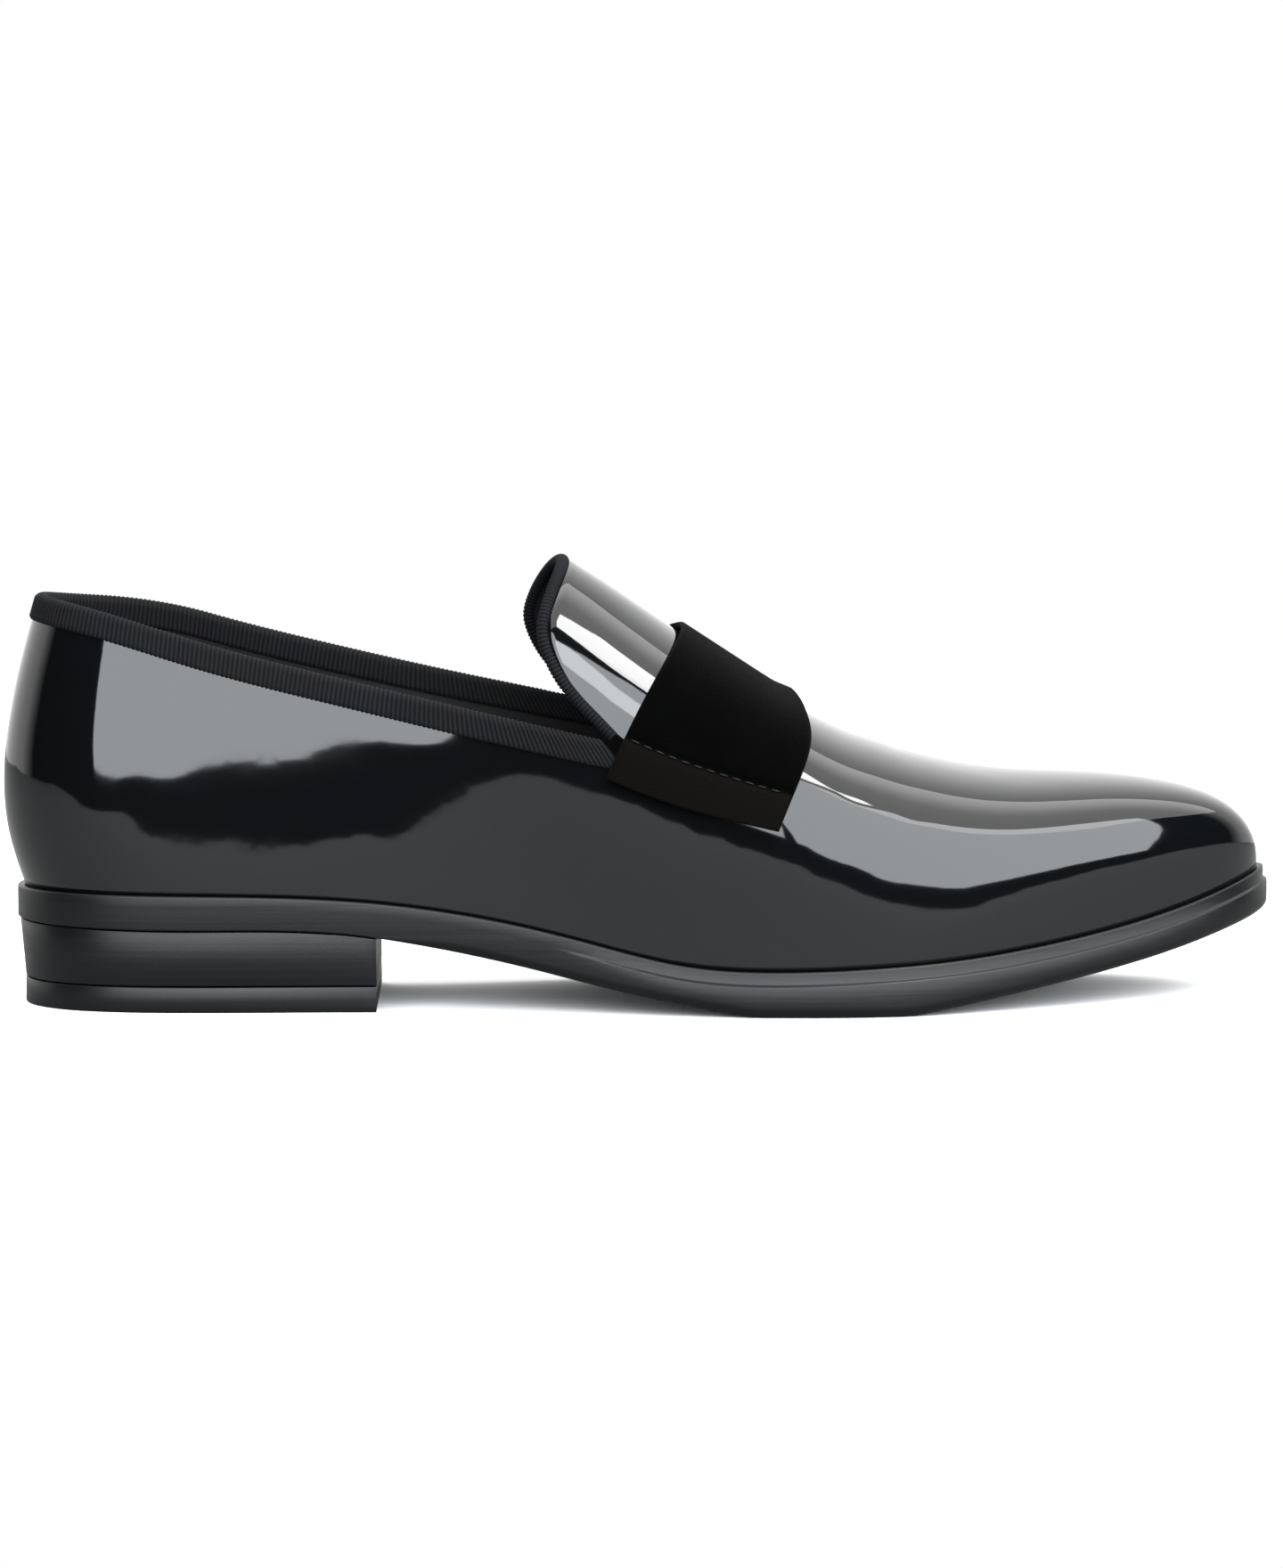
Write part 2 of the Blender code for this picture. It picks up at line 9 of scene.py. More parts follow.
import bmesh
import bpy
import numpy as np
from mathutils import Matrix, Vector


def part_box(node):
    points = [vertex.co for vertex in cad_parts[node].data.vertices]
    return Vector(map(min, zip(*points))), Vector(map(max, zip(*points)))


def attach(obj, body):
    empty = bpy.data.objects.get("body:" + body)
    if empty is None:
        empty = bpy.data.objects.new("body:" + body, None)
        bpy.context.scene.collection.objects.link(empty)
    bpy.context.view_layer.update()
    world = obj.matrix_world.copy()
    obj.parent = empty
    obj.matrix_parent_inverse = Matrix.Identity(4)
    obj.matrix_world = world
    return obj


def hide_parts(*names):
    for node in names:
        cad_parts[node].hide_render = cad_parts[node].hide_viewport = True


bl_info = {
    "name": "Patent loafer looks",
    "version": (1, 0, 0),
    "blender": (4, 5, 0),
    "location": "3D View > Sidebar > Loafer",
    "description": "Builds the finished surfaces of a patent leather loafer",
    "category": "Add Mesh",
}

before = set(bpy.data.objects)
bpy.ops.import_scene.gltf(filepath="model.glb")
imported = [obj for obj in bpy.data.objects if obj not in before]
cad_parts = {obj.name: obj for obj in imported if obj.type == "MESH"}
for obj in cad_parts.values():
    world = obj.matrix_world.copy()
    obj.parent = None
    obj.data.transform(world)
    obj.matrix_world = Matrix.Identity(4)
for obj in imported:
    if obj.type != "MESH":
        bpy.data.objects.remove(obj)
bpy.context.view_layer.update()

# Driving sizes
SHOE_LENGTH = 0.300
BALL_WIDTH = 0.096
INSTEP_HEIGHT = 0.104
HEEL_HEIGHT = 0.028
COLLAR_HEIGHT = 0.096

# Upper
WALL = 0.0020
MEDIAL_RISE = 0.0045
MEDIAL_RISE_REACH = 0.33
NOTCH_STATION = 0.143
HEEL_CURVE_REACH = 0.090
HEEL_ROUNDNESS = 9.0
TOE_ROUNDNESS = 4.0

# Collar binding, tab piping and strap
BINDING_DEPTH = 0.0060
BINDING_PROUD = 0.0005
PIPING_WIDTH = 0.0027
STRAP_THICKNESS = 0.0016

# Sole and heel
LIP_WIDTH = 0.0016
STEP_WIDTH = 0.0009
STEP_DROP = 0.0030
STEP_START = 0.42
STEP_REACH = 0.10
SOLE_EDGE_RADIUS = 0.0026
SEAT_EDGE_RADIUS = 0.0004
SEAT_EDGE_REACH = 0.020
HEEL_LENGTH = 0.0865
HEEL_TAPER = 0.0012
HEEL_SET_IN = 0.0006
BREAST_SKEW = 0.0030
TOP_PIECE_THICKNESS = 0.0060
INSOLE_THICKNESS = 0.0030

# Gap between neighbouring pieces
CLEARANCE = 0.0003
INSOLE_CLEARANCE = 0.0008
NOTCH_CLEARANCE = 0.0012

LAST_LENGTH = SHOE_LENGTH - LIP_WIDTH - 0.5 * STEP_WIDTH
HALF_LAST = LAST_LENGTH / 2.0

# Layout of the upper's grid: places on the way round from the back (0) to the toe (1)
NOTCH_COLUMN = 0.5
NOTCH_ROUNDING = 0.012
NOTCH_REACH = 0.2
NOTCH_BLEND = 0.06
SWEEP_START = 0.15
SWEEP_REACH = 0.25
BINDING_END = 0.492
PIPING_START = 0.53

# How far a column runs square to the topline, as a share of its length, and its greatest lean in radians
ARRIVAL = 0.45
COLUMN_LEAN = 1.25

# Sections of the last: station as a share of the last's length, half width, centre line and ridge
# line as shares of the ball width, rise over the feather edge as a share of the instep height.
SECTION_COLUMNS = ("station", "half_width", "centre", "ridge", "rise", "side_fullness", "top_fullness")
SECTIONS = (
    (0.000, 0.312, 0.000, 0.000, 0.960, 0.06, 0.00),
    (0.150, 0.316, -0.005, 0.000, 0.955, 0.06, 0.00),
    (0.320, 0.314, -0.023, 0.010, 0.915, 0.12, 0.00),
    (0.403, 0.344, -0.035, 0.021, 0.862, 0.18, 0.00),
    (0.487, 0.396, -0.040, 0.031, 0.780, 0.19, 0.00),
    (0.570, 0.458, -0.028, 0.036, 0.656, 0.18, 0.02),
    (0.638, 0.496, -0.010, 0.031, 0.536, 0.16, 0.04),
    (0.705, 0.503, 0.008, 0.026, 0.454, 0.13, 0.05),
    (0.789, 0.460, 0.028, 0.021, 0.393, 0.14, 0.05),
    (0.889, 0.389, 0.042, 0.010, 0.382, 0.15, 0.05),
    (0.956, 0.354, 0.047, 0.003, 0.384, 0.15, 0.05),
    (1.000, 0.344, 0.052, 0.000, 0.400, 0.15, 0.05),
)

# Height of the feather edge and of the sole's underside, as shares of the heel height
PROFILE_COLUMNS = ("station", "feather", "underside")
PROFILE = (
    (0.000, 1.000, 0.725),
    (0.135, 0.986, 0.689),
    (0.285, 0.925, 0.629),
    (0.340, 0.855, 0.521),
    (0.400, 0.740, 0.386),
    (0.455, 0.600, 0.243),
    (0.520, 0.440, 0.100),
    (0.600, 0.390, -0.025),
    (0.680, 0.420, -0.020),
    (0.735, 0.460, 0.060),
    (0.815, 0.565, 0.205),
    (0.915, 0.785, 0.425),
    (0.975, 0.985, 0.605),
    (1.000, 1.080, 0.686),
)

# Curve of the back: how far it is set in, as a share of the heel height, over the collar height
HEEL_CURVE_COLUMNS = ("height", "set_in")
HEEL_CURVE = (
    (0.29, 0.172),
    (0.40, 0.055),
    (0.52, 0.004),
    (0.68, 0.045),
    (0.83, 0.150),
    (1.00, 0.310),
)

# Collar line on the outer side: station as a share of the notch's station, height of the collar height
COLLAR_COLUMNS = ("station", "height")
COLLAR = (
    (0.00, 1.000),
    (0.14, 0.962),
    (0.32, 0.891),
    (0.56, 0.802),
    (0.80, 0.717),
    (1.00, 0.652),
)

# Edge of the vamp's tab from the notch to its top: station as a share of the notch's station,
# height as a share of the way up from the collar's end to the instep height
TAB_COLUMNS = ("along", "station", "height")
TAB = (
    (0.00, 1.000, 0.000),
    (0.22, 0.950, 0.176),
    (0.42, 0.905, 0.357),
    (0.62, 0.877, 0.578),
    (0.81, 0.888, 0.794),
    (1.00, 0.923, 1.000),
)

# Strap: girth angle in degrees, stations of its rear and front edge as shares of the last's length
STRAP_EDGE_COLUMNS = ("angle", "rear", "front")
STRAP_EDGES = (
    (28.0, 0.468, 0.599),
    (55.0, 0.507, 0.624),
    (90.0, 0.532, 0.622),
    (125.0, 0.507, 0.624),
    (152.0, 0.468, 0.599),
)


def column(table, names, name):
    """Return one named column of a table."""
    return np.array([row[names.index(name)] for row in table])


@functools.lru_cache(maxsize=None)
def spline_bends(knots, values):
    """Second derivatives of the natural cubic spline at its knots."""
    gap = np.diff(knots)
    slope = np.diff(values) / gap
    system = np.eye(len(knots))
    right = np.zeros(len(knots))
    for i in range(1, len(knots) - 1):
        system[i, i - 1:i + 2] = gap[i - 1], 2.0 * (gap[i - 1] + gap[i]), gap[i]
        right[i] = 6.0 * (slope[i] - slope[i - 1])
    return np.linalg.solve(system, right)


def spline(knots, values, at):
    """Evaluate the natural cubic spline through the knots, straight beyond its ends."""
    gap = np.diff(knots)
    slope = np.diff(values) / gap
    bend = spline_bends(tuple(knots), tuple(values))
    inside = np.clip(at, knots[0], knots[-1])
    i = np.clip(np.searchsorted(knots, inside) - 1, 0, len(knots) - 2)
    after = (inside - knots[i]) / gap[i]
    before = 1.0 - after
    curve = (before ** 3 - before) * bend[i] + (after ** 3 - after) * bend[i + 1]
    value = before * values[i] + after * values[i + 1] + curve * gap[i] ** 2 / 6.0
    first = slope[0] - gap[0] * bend[1] / 6.0
    last = slope[-1] + gap[-1] * bend[-2] / 6.0
    return value + first * np.minimum(at - knots[0], 0.0) + last * np.maximum(at - knots[-1], 0.0)


def section_value(name, station):
    """Read one column of the section table at a station."""
    knots = column(SECTIONS, SECTION_COLUMNS, "station") * LAST_LENGTH
    return spline(knots, column(SECTIONS, SECTION_COLUMNS, name), station)


def feather_height(station):
    """Height of the edge where upper and sole meet."""
    knots = column(PROFILE, PROFILE_COLUMNS, "station") * SHOE_LENGTH
    return spline(knots, column(PROFILE, PROFILE_COLUMNS, "feather") * HEEL_HEIGHT, station)


def underside_height(station):
    """Height of the sole's underside: arch, flat tread under the ball, and toe spring."""
    knots = column(PROFILE, PROFILE_COLUMNS, "station") * SHOE_LENGTH
    curve = spline(knots, column(PROFILE, PROFILE_COLUMNS, "underside") * HEEL_HEIGHT, station)
    return np.maximum(curve, 0.0)


def heel_set_in(height):
    """How far the back of the last is set in at a height."""
    knots = column(HEEL_CURVE, HEEL_CURVE_COLUMNS, "height") * COLLAR_HEIGHT
    return spline(knots, column(HEEL_CURVE, HEEL_CURVE_COLUMNS, "set_in") * HEEL_HEIGHT, height)


def end_rounding(station):
    """Shares of width and of rise that are left where heel and toe round off."""
    place = np.clip(station / HALF_LAST - 1.0, -1.0, 1.0)
    power = np.where(place < 0.0, HEEL_ROUNDNESS, TOE_ROUNDNESS)
    width_share = np.sqrt(1.0 - np.abs(place) ** power)
    return width_share, np.where(place < 0.0, 1.0, width_share)


def last_point(station, angle):
    """Point of the last's surface at a station and girth angle."""
    width_share, rise_share = end_rounding(station)
    half_width = section_value("half_width", station) * BALL_WIDTH * width_share
    rise = section_value("rise", station) * INSTEP_HEIGHT * rise_share
    side = section_value("side_fullness", station)
    top = section_value("top_fullness", station)
    across = (1.0 + side) * np.cos(angle) - side * np.cos(3.0 * angle)
    up = (1.0 + top) * np.sin(angle) + top * np.sin(3.0 * angle)
    centre = section_value("centre", station) * BALL_WIDTH
    ridge = section_value("ridge", station) * BALL_WIDTH
    y = centre + ridge * up ** 2 - half_width * across
    z = feather_height(station) + rise * up
    fade = np.clip(1.0 - station / HEEL_CURVE_REACH, 0.0, 1.0) ** 2
    x = station + heel_set_in(z) * fade
    return np.stack([x, y, z], axis=-1)


def angle_at_height(station, height):
    """Girth angle on the outer side at which the last reaches a height."""
    rise = section_value("rise", station) * INSTEP_HEIGHT * end_rounding(station)[1]
    top = section_value("top_fullness", station)
    wanted = np.clip((height - feather_height(station)) / rise, 0.0, 1.0)
    angle = np.arcsin(wanted)
    for _ in range(6):
        up = (1.0 + top) * np.sin(angle) + top * np.sin(3.0 * angle)
        pitch = (1.0 + top) * np.cos(angle) + 3.0 * top * np.cos(3.0 * angle)
        angle = angle - (up - wanted) / np.maximum(pitch, 0.05)
    return angle


def ease(value):
    """Smooth step from 0 to 1."""
    share = np.clip(value, 0.0, 1.0)
    return share * share * (3.0 - 2.0 * share)


def collar_line(share, medial):
    """Station and girth angle of the collar, by the share of the way from back to notch."""
    station = NOTCH_STATION * (1.0 - np.cos(0.5 * math.pi * share))
    knots = column(COLLAR, COLLAR_COLUMNS, "station") * NOTCH_STATION
    height = spline(knots, column(COLLAR, COLLAR_COLUMNS, "height") * COLLAR_HEIGHT, station)
    height = height + medial * MEDIAL_RISE * ease(station / (MEDIAL_RISE_REACH * NOTCH_STATION))
    angle = angle_at_height(station, height)
    return station, np.where(medial, math.pi - angle, angle)


def tab_line(share, medial):
    """Station and girth angle of the tab's edge, by the share of the way from notch to top."""
    along = column(TAB, TAB_COLUMNS, "along")
    station = column(TAB, TAB_COLUMNS, "station") * NOTCH_STATION
    lowest = COLLAR[-1][1] * COLLAR_HEIGHT
    height = lowest + column(TAB, TAB_COLUMNS, "height") * (INSTEP_HEIGHT - lowest)
    outer = angle_at_height(station, height)
    inner = angle_at_height(station, height + MEDIAL_RISE * (1.0 - along) ** 2)
    outer[-1] = inner[-1] = 0.5 * math.pi
    knots = np.concatenate([along, 2.0 - along[-2::-1]])
    stations = np.concatenate([station, station[-2::-1]])
    angles = np.concatenate([outer, math.pi - inner[-2::-1]])
    place = np.where(medial, 2.0 - share, share)
    return spline(knots, stations, place), spline(knots, angles, place)


def ball_direction(station, angle):
    """Direction on a unit ball that stands for a place on the last, with no pole on the vamp."""
    along = np.clip(station / HALF_LAST - 1.0, -1.0, 1.0)
    radius = np.sqrt(1.0 - along ** 2)
    return np.stack([along, -radius * np.cos(angle), radius * np.sin(angle)], axis=-1)


def raw_topline(turn):
    """Station and girth angle of the topline, with a sharp notch where collar and tab meet."""
    turn = (turn + 1.0) % 2.0 - 1.0
    medial = turn > 0.0
    share = np.abs(turn)
    collar = collar_line(np.minimum(share / NOTCH_COLUMN, 1.0), medial)
    tab = tab_line(np.clip((share - NOTCH_COLUMN) / (1.0 - NOTCH_COLUMN), 0.0, 1.0), medial)
    on_collar = share <= NOTCH_COLUMN
    return np.where(on_collar, collar[0], tab[0]), np.where(on_collar, collar[1], tab[1])


def topline(turn):
    """Station and girth angle of the topline, with its notch rounded by a local average."""
    share = np.abs((turn + 1.0) % 2.0 - 1.0)
    reach = NOTCH_ROUNDING * (1.0 - ease(np.abs(share - NOTCH_COLUMN) / NOTCH_REACH))
    station = 0.0
    angle = 0.0
    for offset, weight in zip((-2.0, -1.0, 0.0, 1.0, 2.0), (0.1, 0.25, 0.3, 0.25, 0.1)):
        place = raw_topline(turn + offset * reach)
        station = station + weight * place[0]
        angle = angle + weight * place[1]
    return station, angle


def dot(first, second):
    """Scalar product of vectors, kept as a last axis of one."""
    return np.sum(first * second, axis=-1, keepdims=True)


def arrival_direction(turn, start, end):
    """Direction square to the topline on the unit ball, kept from leaning far off the way to the foot."""
    step = 2e-3
    along = ball_direction(*topline(turn + step)) - ball_direction(*topline(turn - step))
    square = np.cross(end, along)
    toward = start - dot(start, end) * end
    toward = toward / np.maximum(np.linalg.norm(toward, axis=-1, keepdims=True), 1e-9)
    sideways = np.cross(end, toward)
    lean = np.arctan2(dot(square, sideways), dot(square, toward))
    lean = COLUMN_LEAN * np.tanh(lean / COLUMN_LEAN)
    return np.cos(lean) * toward + np.sin(lean) * sideways


def arc_to_topline(turn, foot, foot_angle, climb):
    """Place on a curve that leaves the feather edge and meets the topline as squarely as it may."""
    start = ball_direction(foot, foot_angle)
    end = ball_direction(*topline(turn))
    inward = arrival_direction(turn, start, end)
    sweep = np.arccos(np.clip(dot(start, end), -1.0, 1.0))
    middle = np.cos(ARRIVAL * sweep) * end + np.sin(ARRIVAL * sweep) * inward
    up = climb[..., None]
    mix = (1.0 - up) ** 2 * start + 2.0 * up * (1.0 - up) * middle + up ** 2 * end
    mix = mix / np.maximum(np.linalg.norm(mix, axis=-1, keepdims=True), 1e-9)
    return HALF_LAST * (1.0 + mix[..., 0]), np.arctan2(np.maximum(mix[..., 2], 0.0), -mix[..., 1])


def place_on_last(turn, climb):
    """Station and girth angle of a place on the upper.

    turn runs from -1 at the toe along the outer side to 0 at the back and 1 at the toe again.
    climb runs from 0 at the feather edge to 1 at the topline.
    """
    turn, climb = np.broadcast_arrays(turn, climb)
    turn = (turn + 1.0) % 2.0 - 1.0
    share = np.abs(turn)
    foot = HALF_LAST * (1.0 - np.cos(math.pi * share))
    foot_angle = np.where(turn > 0.0, math.pi, 0.0)
    edge, edge_angle = topline(turn)
    straight = foot + (edge - foot) * climb
    straight_angle = foot_angle + (edge_angle - foot_angle) * climb
    swept, swept_angle = arc_to_topline(turn, foot, foot_angle, climb)
    blend = ease((share - SWEEP_START) / SWEEP_REACH)
    station = straight + (swept - straight) * blend
    return station, straight_angle + (swept_angle - straight_angle) * blend


def upper_point(turn, climb):
    """Point of the upper's outer face."""
    return last_point(*place_on_last(turn, climb))


def unit(vectors):
    """Scale vectors to length one."""
    return vectors / np.linalg.norm(vectors, axis=-1, keepdims=True)


def upper_normal(turn, climb):
    """Outward normal of the upper's outer face."""
    step = 1e-4
    low = np.maximum(climb - step, 0.0)
    along = upper_point(turn + step, climb) - upper_point(turn - step, climb)
    upward = upper_point(turn, climb + step) - upper_point(turn, low)
    return unit(np.cross(upward, along))


def last_normal(station, angle):
    """Outward normal of the last, away from its ends."""
    step = 1e-4
    move = step * LAST_LENGTH
    forward = last_point(station + move, angle) - last_point(station - move, angle)
    over = last_point(station, angle + step) - last_point(station, angle - step)
    return unit(np.cross(forward, over))


def climb_below_topline(turn, down):
    """Climb at which a column lies a distance below the topline, measured square to it."""
    step = 1e-4
    back = 0.02
    along = upper_point(turn + step, 1.0) - upper_point(turn - step, 1.0)
    upward = (upper_point(turn, 1.0) - upper_point(turn, 1.0 - back)) / back
    rate = np.linalg.norm(np.cross(unit(along), upward), axis=-1)
    return 1.0 - down / rate


def near_topline(turn, down, out):
    """Point at a distance down from the topline and a distance out of the upper's face."""
    climb = climb_below_topline(turn, down)
    return upper_point(turn, climb) + upper_normal(turn, climb) * np.asarray(out)[..., None]


def feather_line(turn, outset):
    """Point of the sole's outline, set out from the upper's feather edge in plan."""
    out = upper_normal(turn, 0.0) * (1.0, 1.0, 0.0)
    return upper_point(turn, 0.0) + unit(out) * np.asarray(outset)[..., None]


# Fineness of the shown meshes
SKIN_COLUMNS = 360
SKIN_ROWS = 84
LINING_ROWS = 24
POINTS_PER_RIB = 4
LIP_SOFTNESS = 0.0005


class LoaferSizes(bpy.types.PropertyGroup):
    """Sizes of the finish that a user would change."""

    rib_pitch: bpy.props.FloatProperty(
        name="Rib pitch", description="Distance between the ribs of the binding ribbon",
        default=0.00108, min=0.0005, max=0.003, unit="LENGTH")
    rib_height: bpy.props.FloatProperty(
        name="Rib height", description="How far a rib stands out of the ribbon",
        default=0.00026, min=0.0, max=0.0005, unit="LENGTH")
    piping_pitch: bpy.props.FloatProperty(
        name="Piping rib pitch", description="Distance between the ribs around the piping",
        default=0.00095, min=0.0005, max=0.003, unit="LENGTH")
    stitch_pitch: bpy.props.FloatProperty(
        name="Stitch pitch", description="Distance from one stitch of the strap to the next",
        default=0.0031, min=0.001, max=0.006, unit="LENGTH")
    thread_width: bpy.props.FloatProperty(
        name="Thread width", description="Thickness of the sewing thread",
        default=0.00045, min=0.0002, max=0.001, unit="LENGTH")
    hem_width: bpy.props.FloatProperty(
        name="Hem width", description="Width of the strap's hem below its stitches",
        default=0.0068, min=0.002, max=0.015, unit="LENGTH")
    crease_depth: bpy.props.FloatProperty(
        name="Crease depth", description="Depth of the soft troughs in the patent leather",
        default=0.00022, min=0.0, max=0.001, unit="LENGTH")


class LoaferColours(bpy.types.PropertyGroup):
    """Colours of the finish, as sRGB hex values."""

    patent: bpy.props.StringProperty(
        name="Patent leather", description="Colour under the lacquer", default="060708")
    ribbon: bpy.props.StringProperty(
        # Colour of the ribs' crowns; the troughs between them are darkened with painted shade.
        name="Grosgrain ribbon", description="Colour of the ribbon's crowns", default="141518")
    velvet: bpy.props.StringProperty(
        name="Velvet", description="Colour in the depth of the pile", default="010101")
    hem: bpy.props.StringProperty(
        name="Velvet hem", description="Colour of the worn hem below the stitches", default="080706")
    rubber: bpy.props.StringProperty(
        name="Moulded rubber", description="Colour of sole and heel", default="08090A")
    lining: bpy.props.StringProperty(
        name="Lining leather", description="Colour of lining and footbed", default="0E0E0E")
    floor: bpy.props.StringProperty(
        name="Floor", description="Colour of the studio floor", default="787878")


def linear(code):
    """Turn an sRGB hex value into linear RGBA."""
    parts = [int(code[i:i + 2], 16) / 255.0 for i in (0, 2, 4)]
    return (*[p / 12.92 if p <= 0.04045 else ((p + 0.055) / 1.055) ** 2.4 for p in parts], 1.0)


def add_node(tree, kind, settings=None, inputs=None, links=None):
    """Add a node, set its properties and inputs, and link outputs of other nodes into it."""
    node = tree.nodes.new(kind)
    for name, value in (settings or {}).items():
        setattr(node, name, value)
    for name, value in (inputs or {}).items():
        node.inputs[name].default_value = value
    for name, output in (links or {}).items():
        tree.links.new(output, node.inputs[name])
    return node


def start_material(name, colour, roughness, **inputs):
    """Make a material whose Principled shader has the given plain values."""
    material = bpy.data.materials.new(name)
    material.use_nodes = True
    tree = material.node_tree
    shader = tree.nodes["Principled BSDF"]
    shader.inputs["Base Color"].default_value = colour
    shader.inputs["Roughness"].default_value = roughness
    for label, value in inputs.items():
        shader.inputs[label.replace("_", " ")].default_value = value
    place = add_node(tree, "ShaderNodeTexCoord").outputs["Object"]
    return material, tree, shader, place


def ramp(tree, factor, stops):
    """Add a colour ramp with the given stops of position and grey or colour."""
    node = add_node(tree, "ShaderNodeValToRGB", links={"Fac": factor})
    elements = node.color_ramp.elements
    while len(elements) < len(stops):
        elements.new(0.5)
    for element, (position, colour) in zip(elements, stops):
        element.position = position
        element.color = colour if len(colour) == 4 else (*colour, 1.0)
    return node


def patent_leather(colours):
    """Lacquered patent leather: a mirror with a faint slow wave where the lacquer follows the hide."""
    material, tree, shader, place = start_material(
        "patent_leather_lacquered", linear(colours.patent), 0.045, IOR=1.5)
    # The hide's waves are about 18 mm long, and the lacquer's orange peel about 2.5 mm.
    wave = add_node(tree, "ShaderNodeTexNoise", inputs={"Scale": 55.0, "Detail": 1.0}, links={"Vector": place})
    peel = add_node(tree, "ShaderNodeTexNoise", inputs={"Scale": 400.0, "Detail": 0.0}, links={"Vector": place})
    slow = add_node(tree, "ShaderNodeBump", inputs={"Strength": 0.10, "Distance": 0.0012},
                    links={"Height": wave.outputs["Fac"]})
    fine = add_node(tree, "ShaderNodeBump", inputs={"Strength": 0.03, "Distance": 0.0001},
                    links={"Height": peel.outputs["Fac"], "Normal": slow.outputs["Normal"]})
    tree.links.new(fine.outputs["Normal"], shader.inputs["Normal"])
    return material


def lining_leather(colours):
    """Thin dyed lining leather: matt, with a fine grain that breaks up its shine."""
    material, tree, shader, place = start_material(
        "lining_leather_dyed", linear(colours.lining), 0.62, IOR=1.45, Specular_IOR_Level=0.2)
    # The grain's cells are about 0.9 mm across.
    cells = add_node(tree, "ShaderNodeTexVoronoi", {"feature": "DISTANCE_TO_EDGE"}, {"Scale": 1100.0},
                     {"Vector": place})
    shade = add_node(tree, "ShaderNodeTexNoise", inputs={"Scale": 60.0}, links={"Vector": place})
    rough = add_node(tree, "ShaderNodeMapRange", inputs={"To Min": 0.5, "To Max": 0.75},
                     links={"Value": shade.outputs["Fac"]})
    tree.links.new(rough.outputs["Result"], shader.inputs["Roughness"])
    bump = add_node(tree, "ShaderNodeBump", inputs={"Strength": 0.35, "Distance": 0.0002},
                    links={"Height": cells.outputs["Distance"]})
    tree.links.new(bump.outputs["Normal"], shader.inputs["Normal"])
    return material


def grosgrain_ribbon(colours):
    """Woven grosgrain: dull filament yarn with a fine warp across its ribs, and painted shade that darkens the troughs
    between the ribs.
    """
    material, tree, shader, place = start_material(
        "grosgrain_ribbon_woven", linear(colours.ribbon), 0.85,
        Sheen_Weight=0.008, Sheen_Roughness=0.4, Specular_IOR_Level=0.12)
    # Warp threads are about 0.35 mm apart.
    warp = add_node(tree, "ShaderNodeTexNoise", inputs={"Scale": 2800.0, "Detail": 1.0}, links={"Vector": place})
    # Painted shade: the ribbon's colour falls to near black in the troughs between the ribs, by how high each point
    # lies on its rib.
    rib = add_node(tree, "ShaderNodeAttribute", {"attribute_name": "rib"})
    tone = ramp(tree, rib.outputs["Fac"], (
        (0.15, linear("010101")),
        (0.90, linear(colours.ribbon)),
    ))
    patch = add_node(tree, "ShaderNodeTexNoise", inputs={"Scale": 90.0}, links={"Vector": place})
    mixed = add_node(tree, "ShaderNodeMix", {"data_type": "RGBA", "blend_type": "MULTIPLY"},
                     {"Factor": 0.5}, {})
    tree.links.new(tone.outputs["Color"], mixed.inputs[6])
    tree.links.new(patch.outputs["Color"], mixed.inputs[7])
    tree.links.new(mixed.outputs[2], shader.inputs["Base Color"])
    bump = add_node(tree, "ShaderNodeBump", inputs={"Strength": 0.5, "Distance": 0.00012},
                    links={"Height": warp.outputs["Fac"]})
    tree.links.new(bump.outputs["Normal"], shader.inputs["Normal"])
    return material


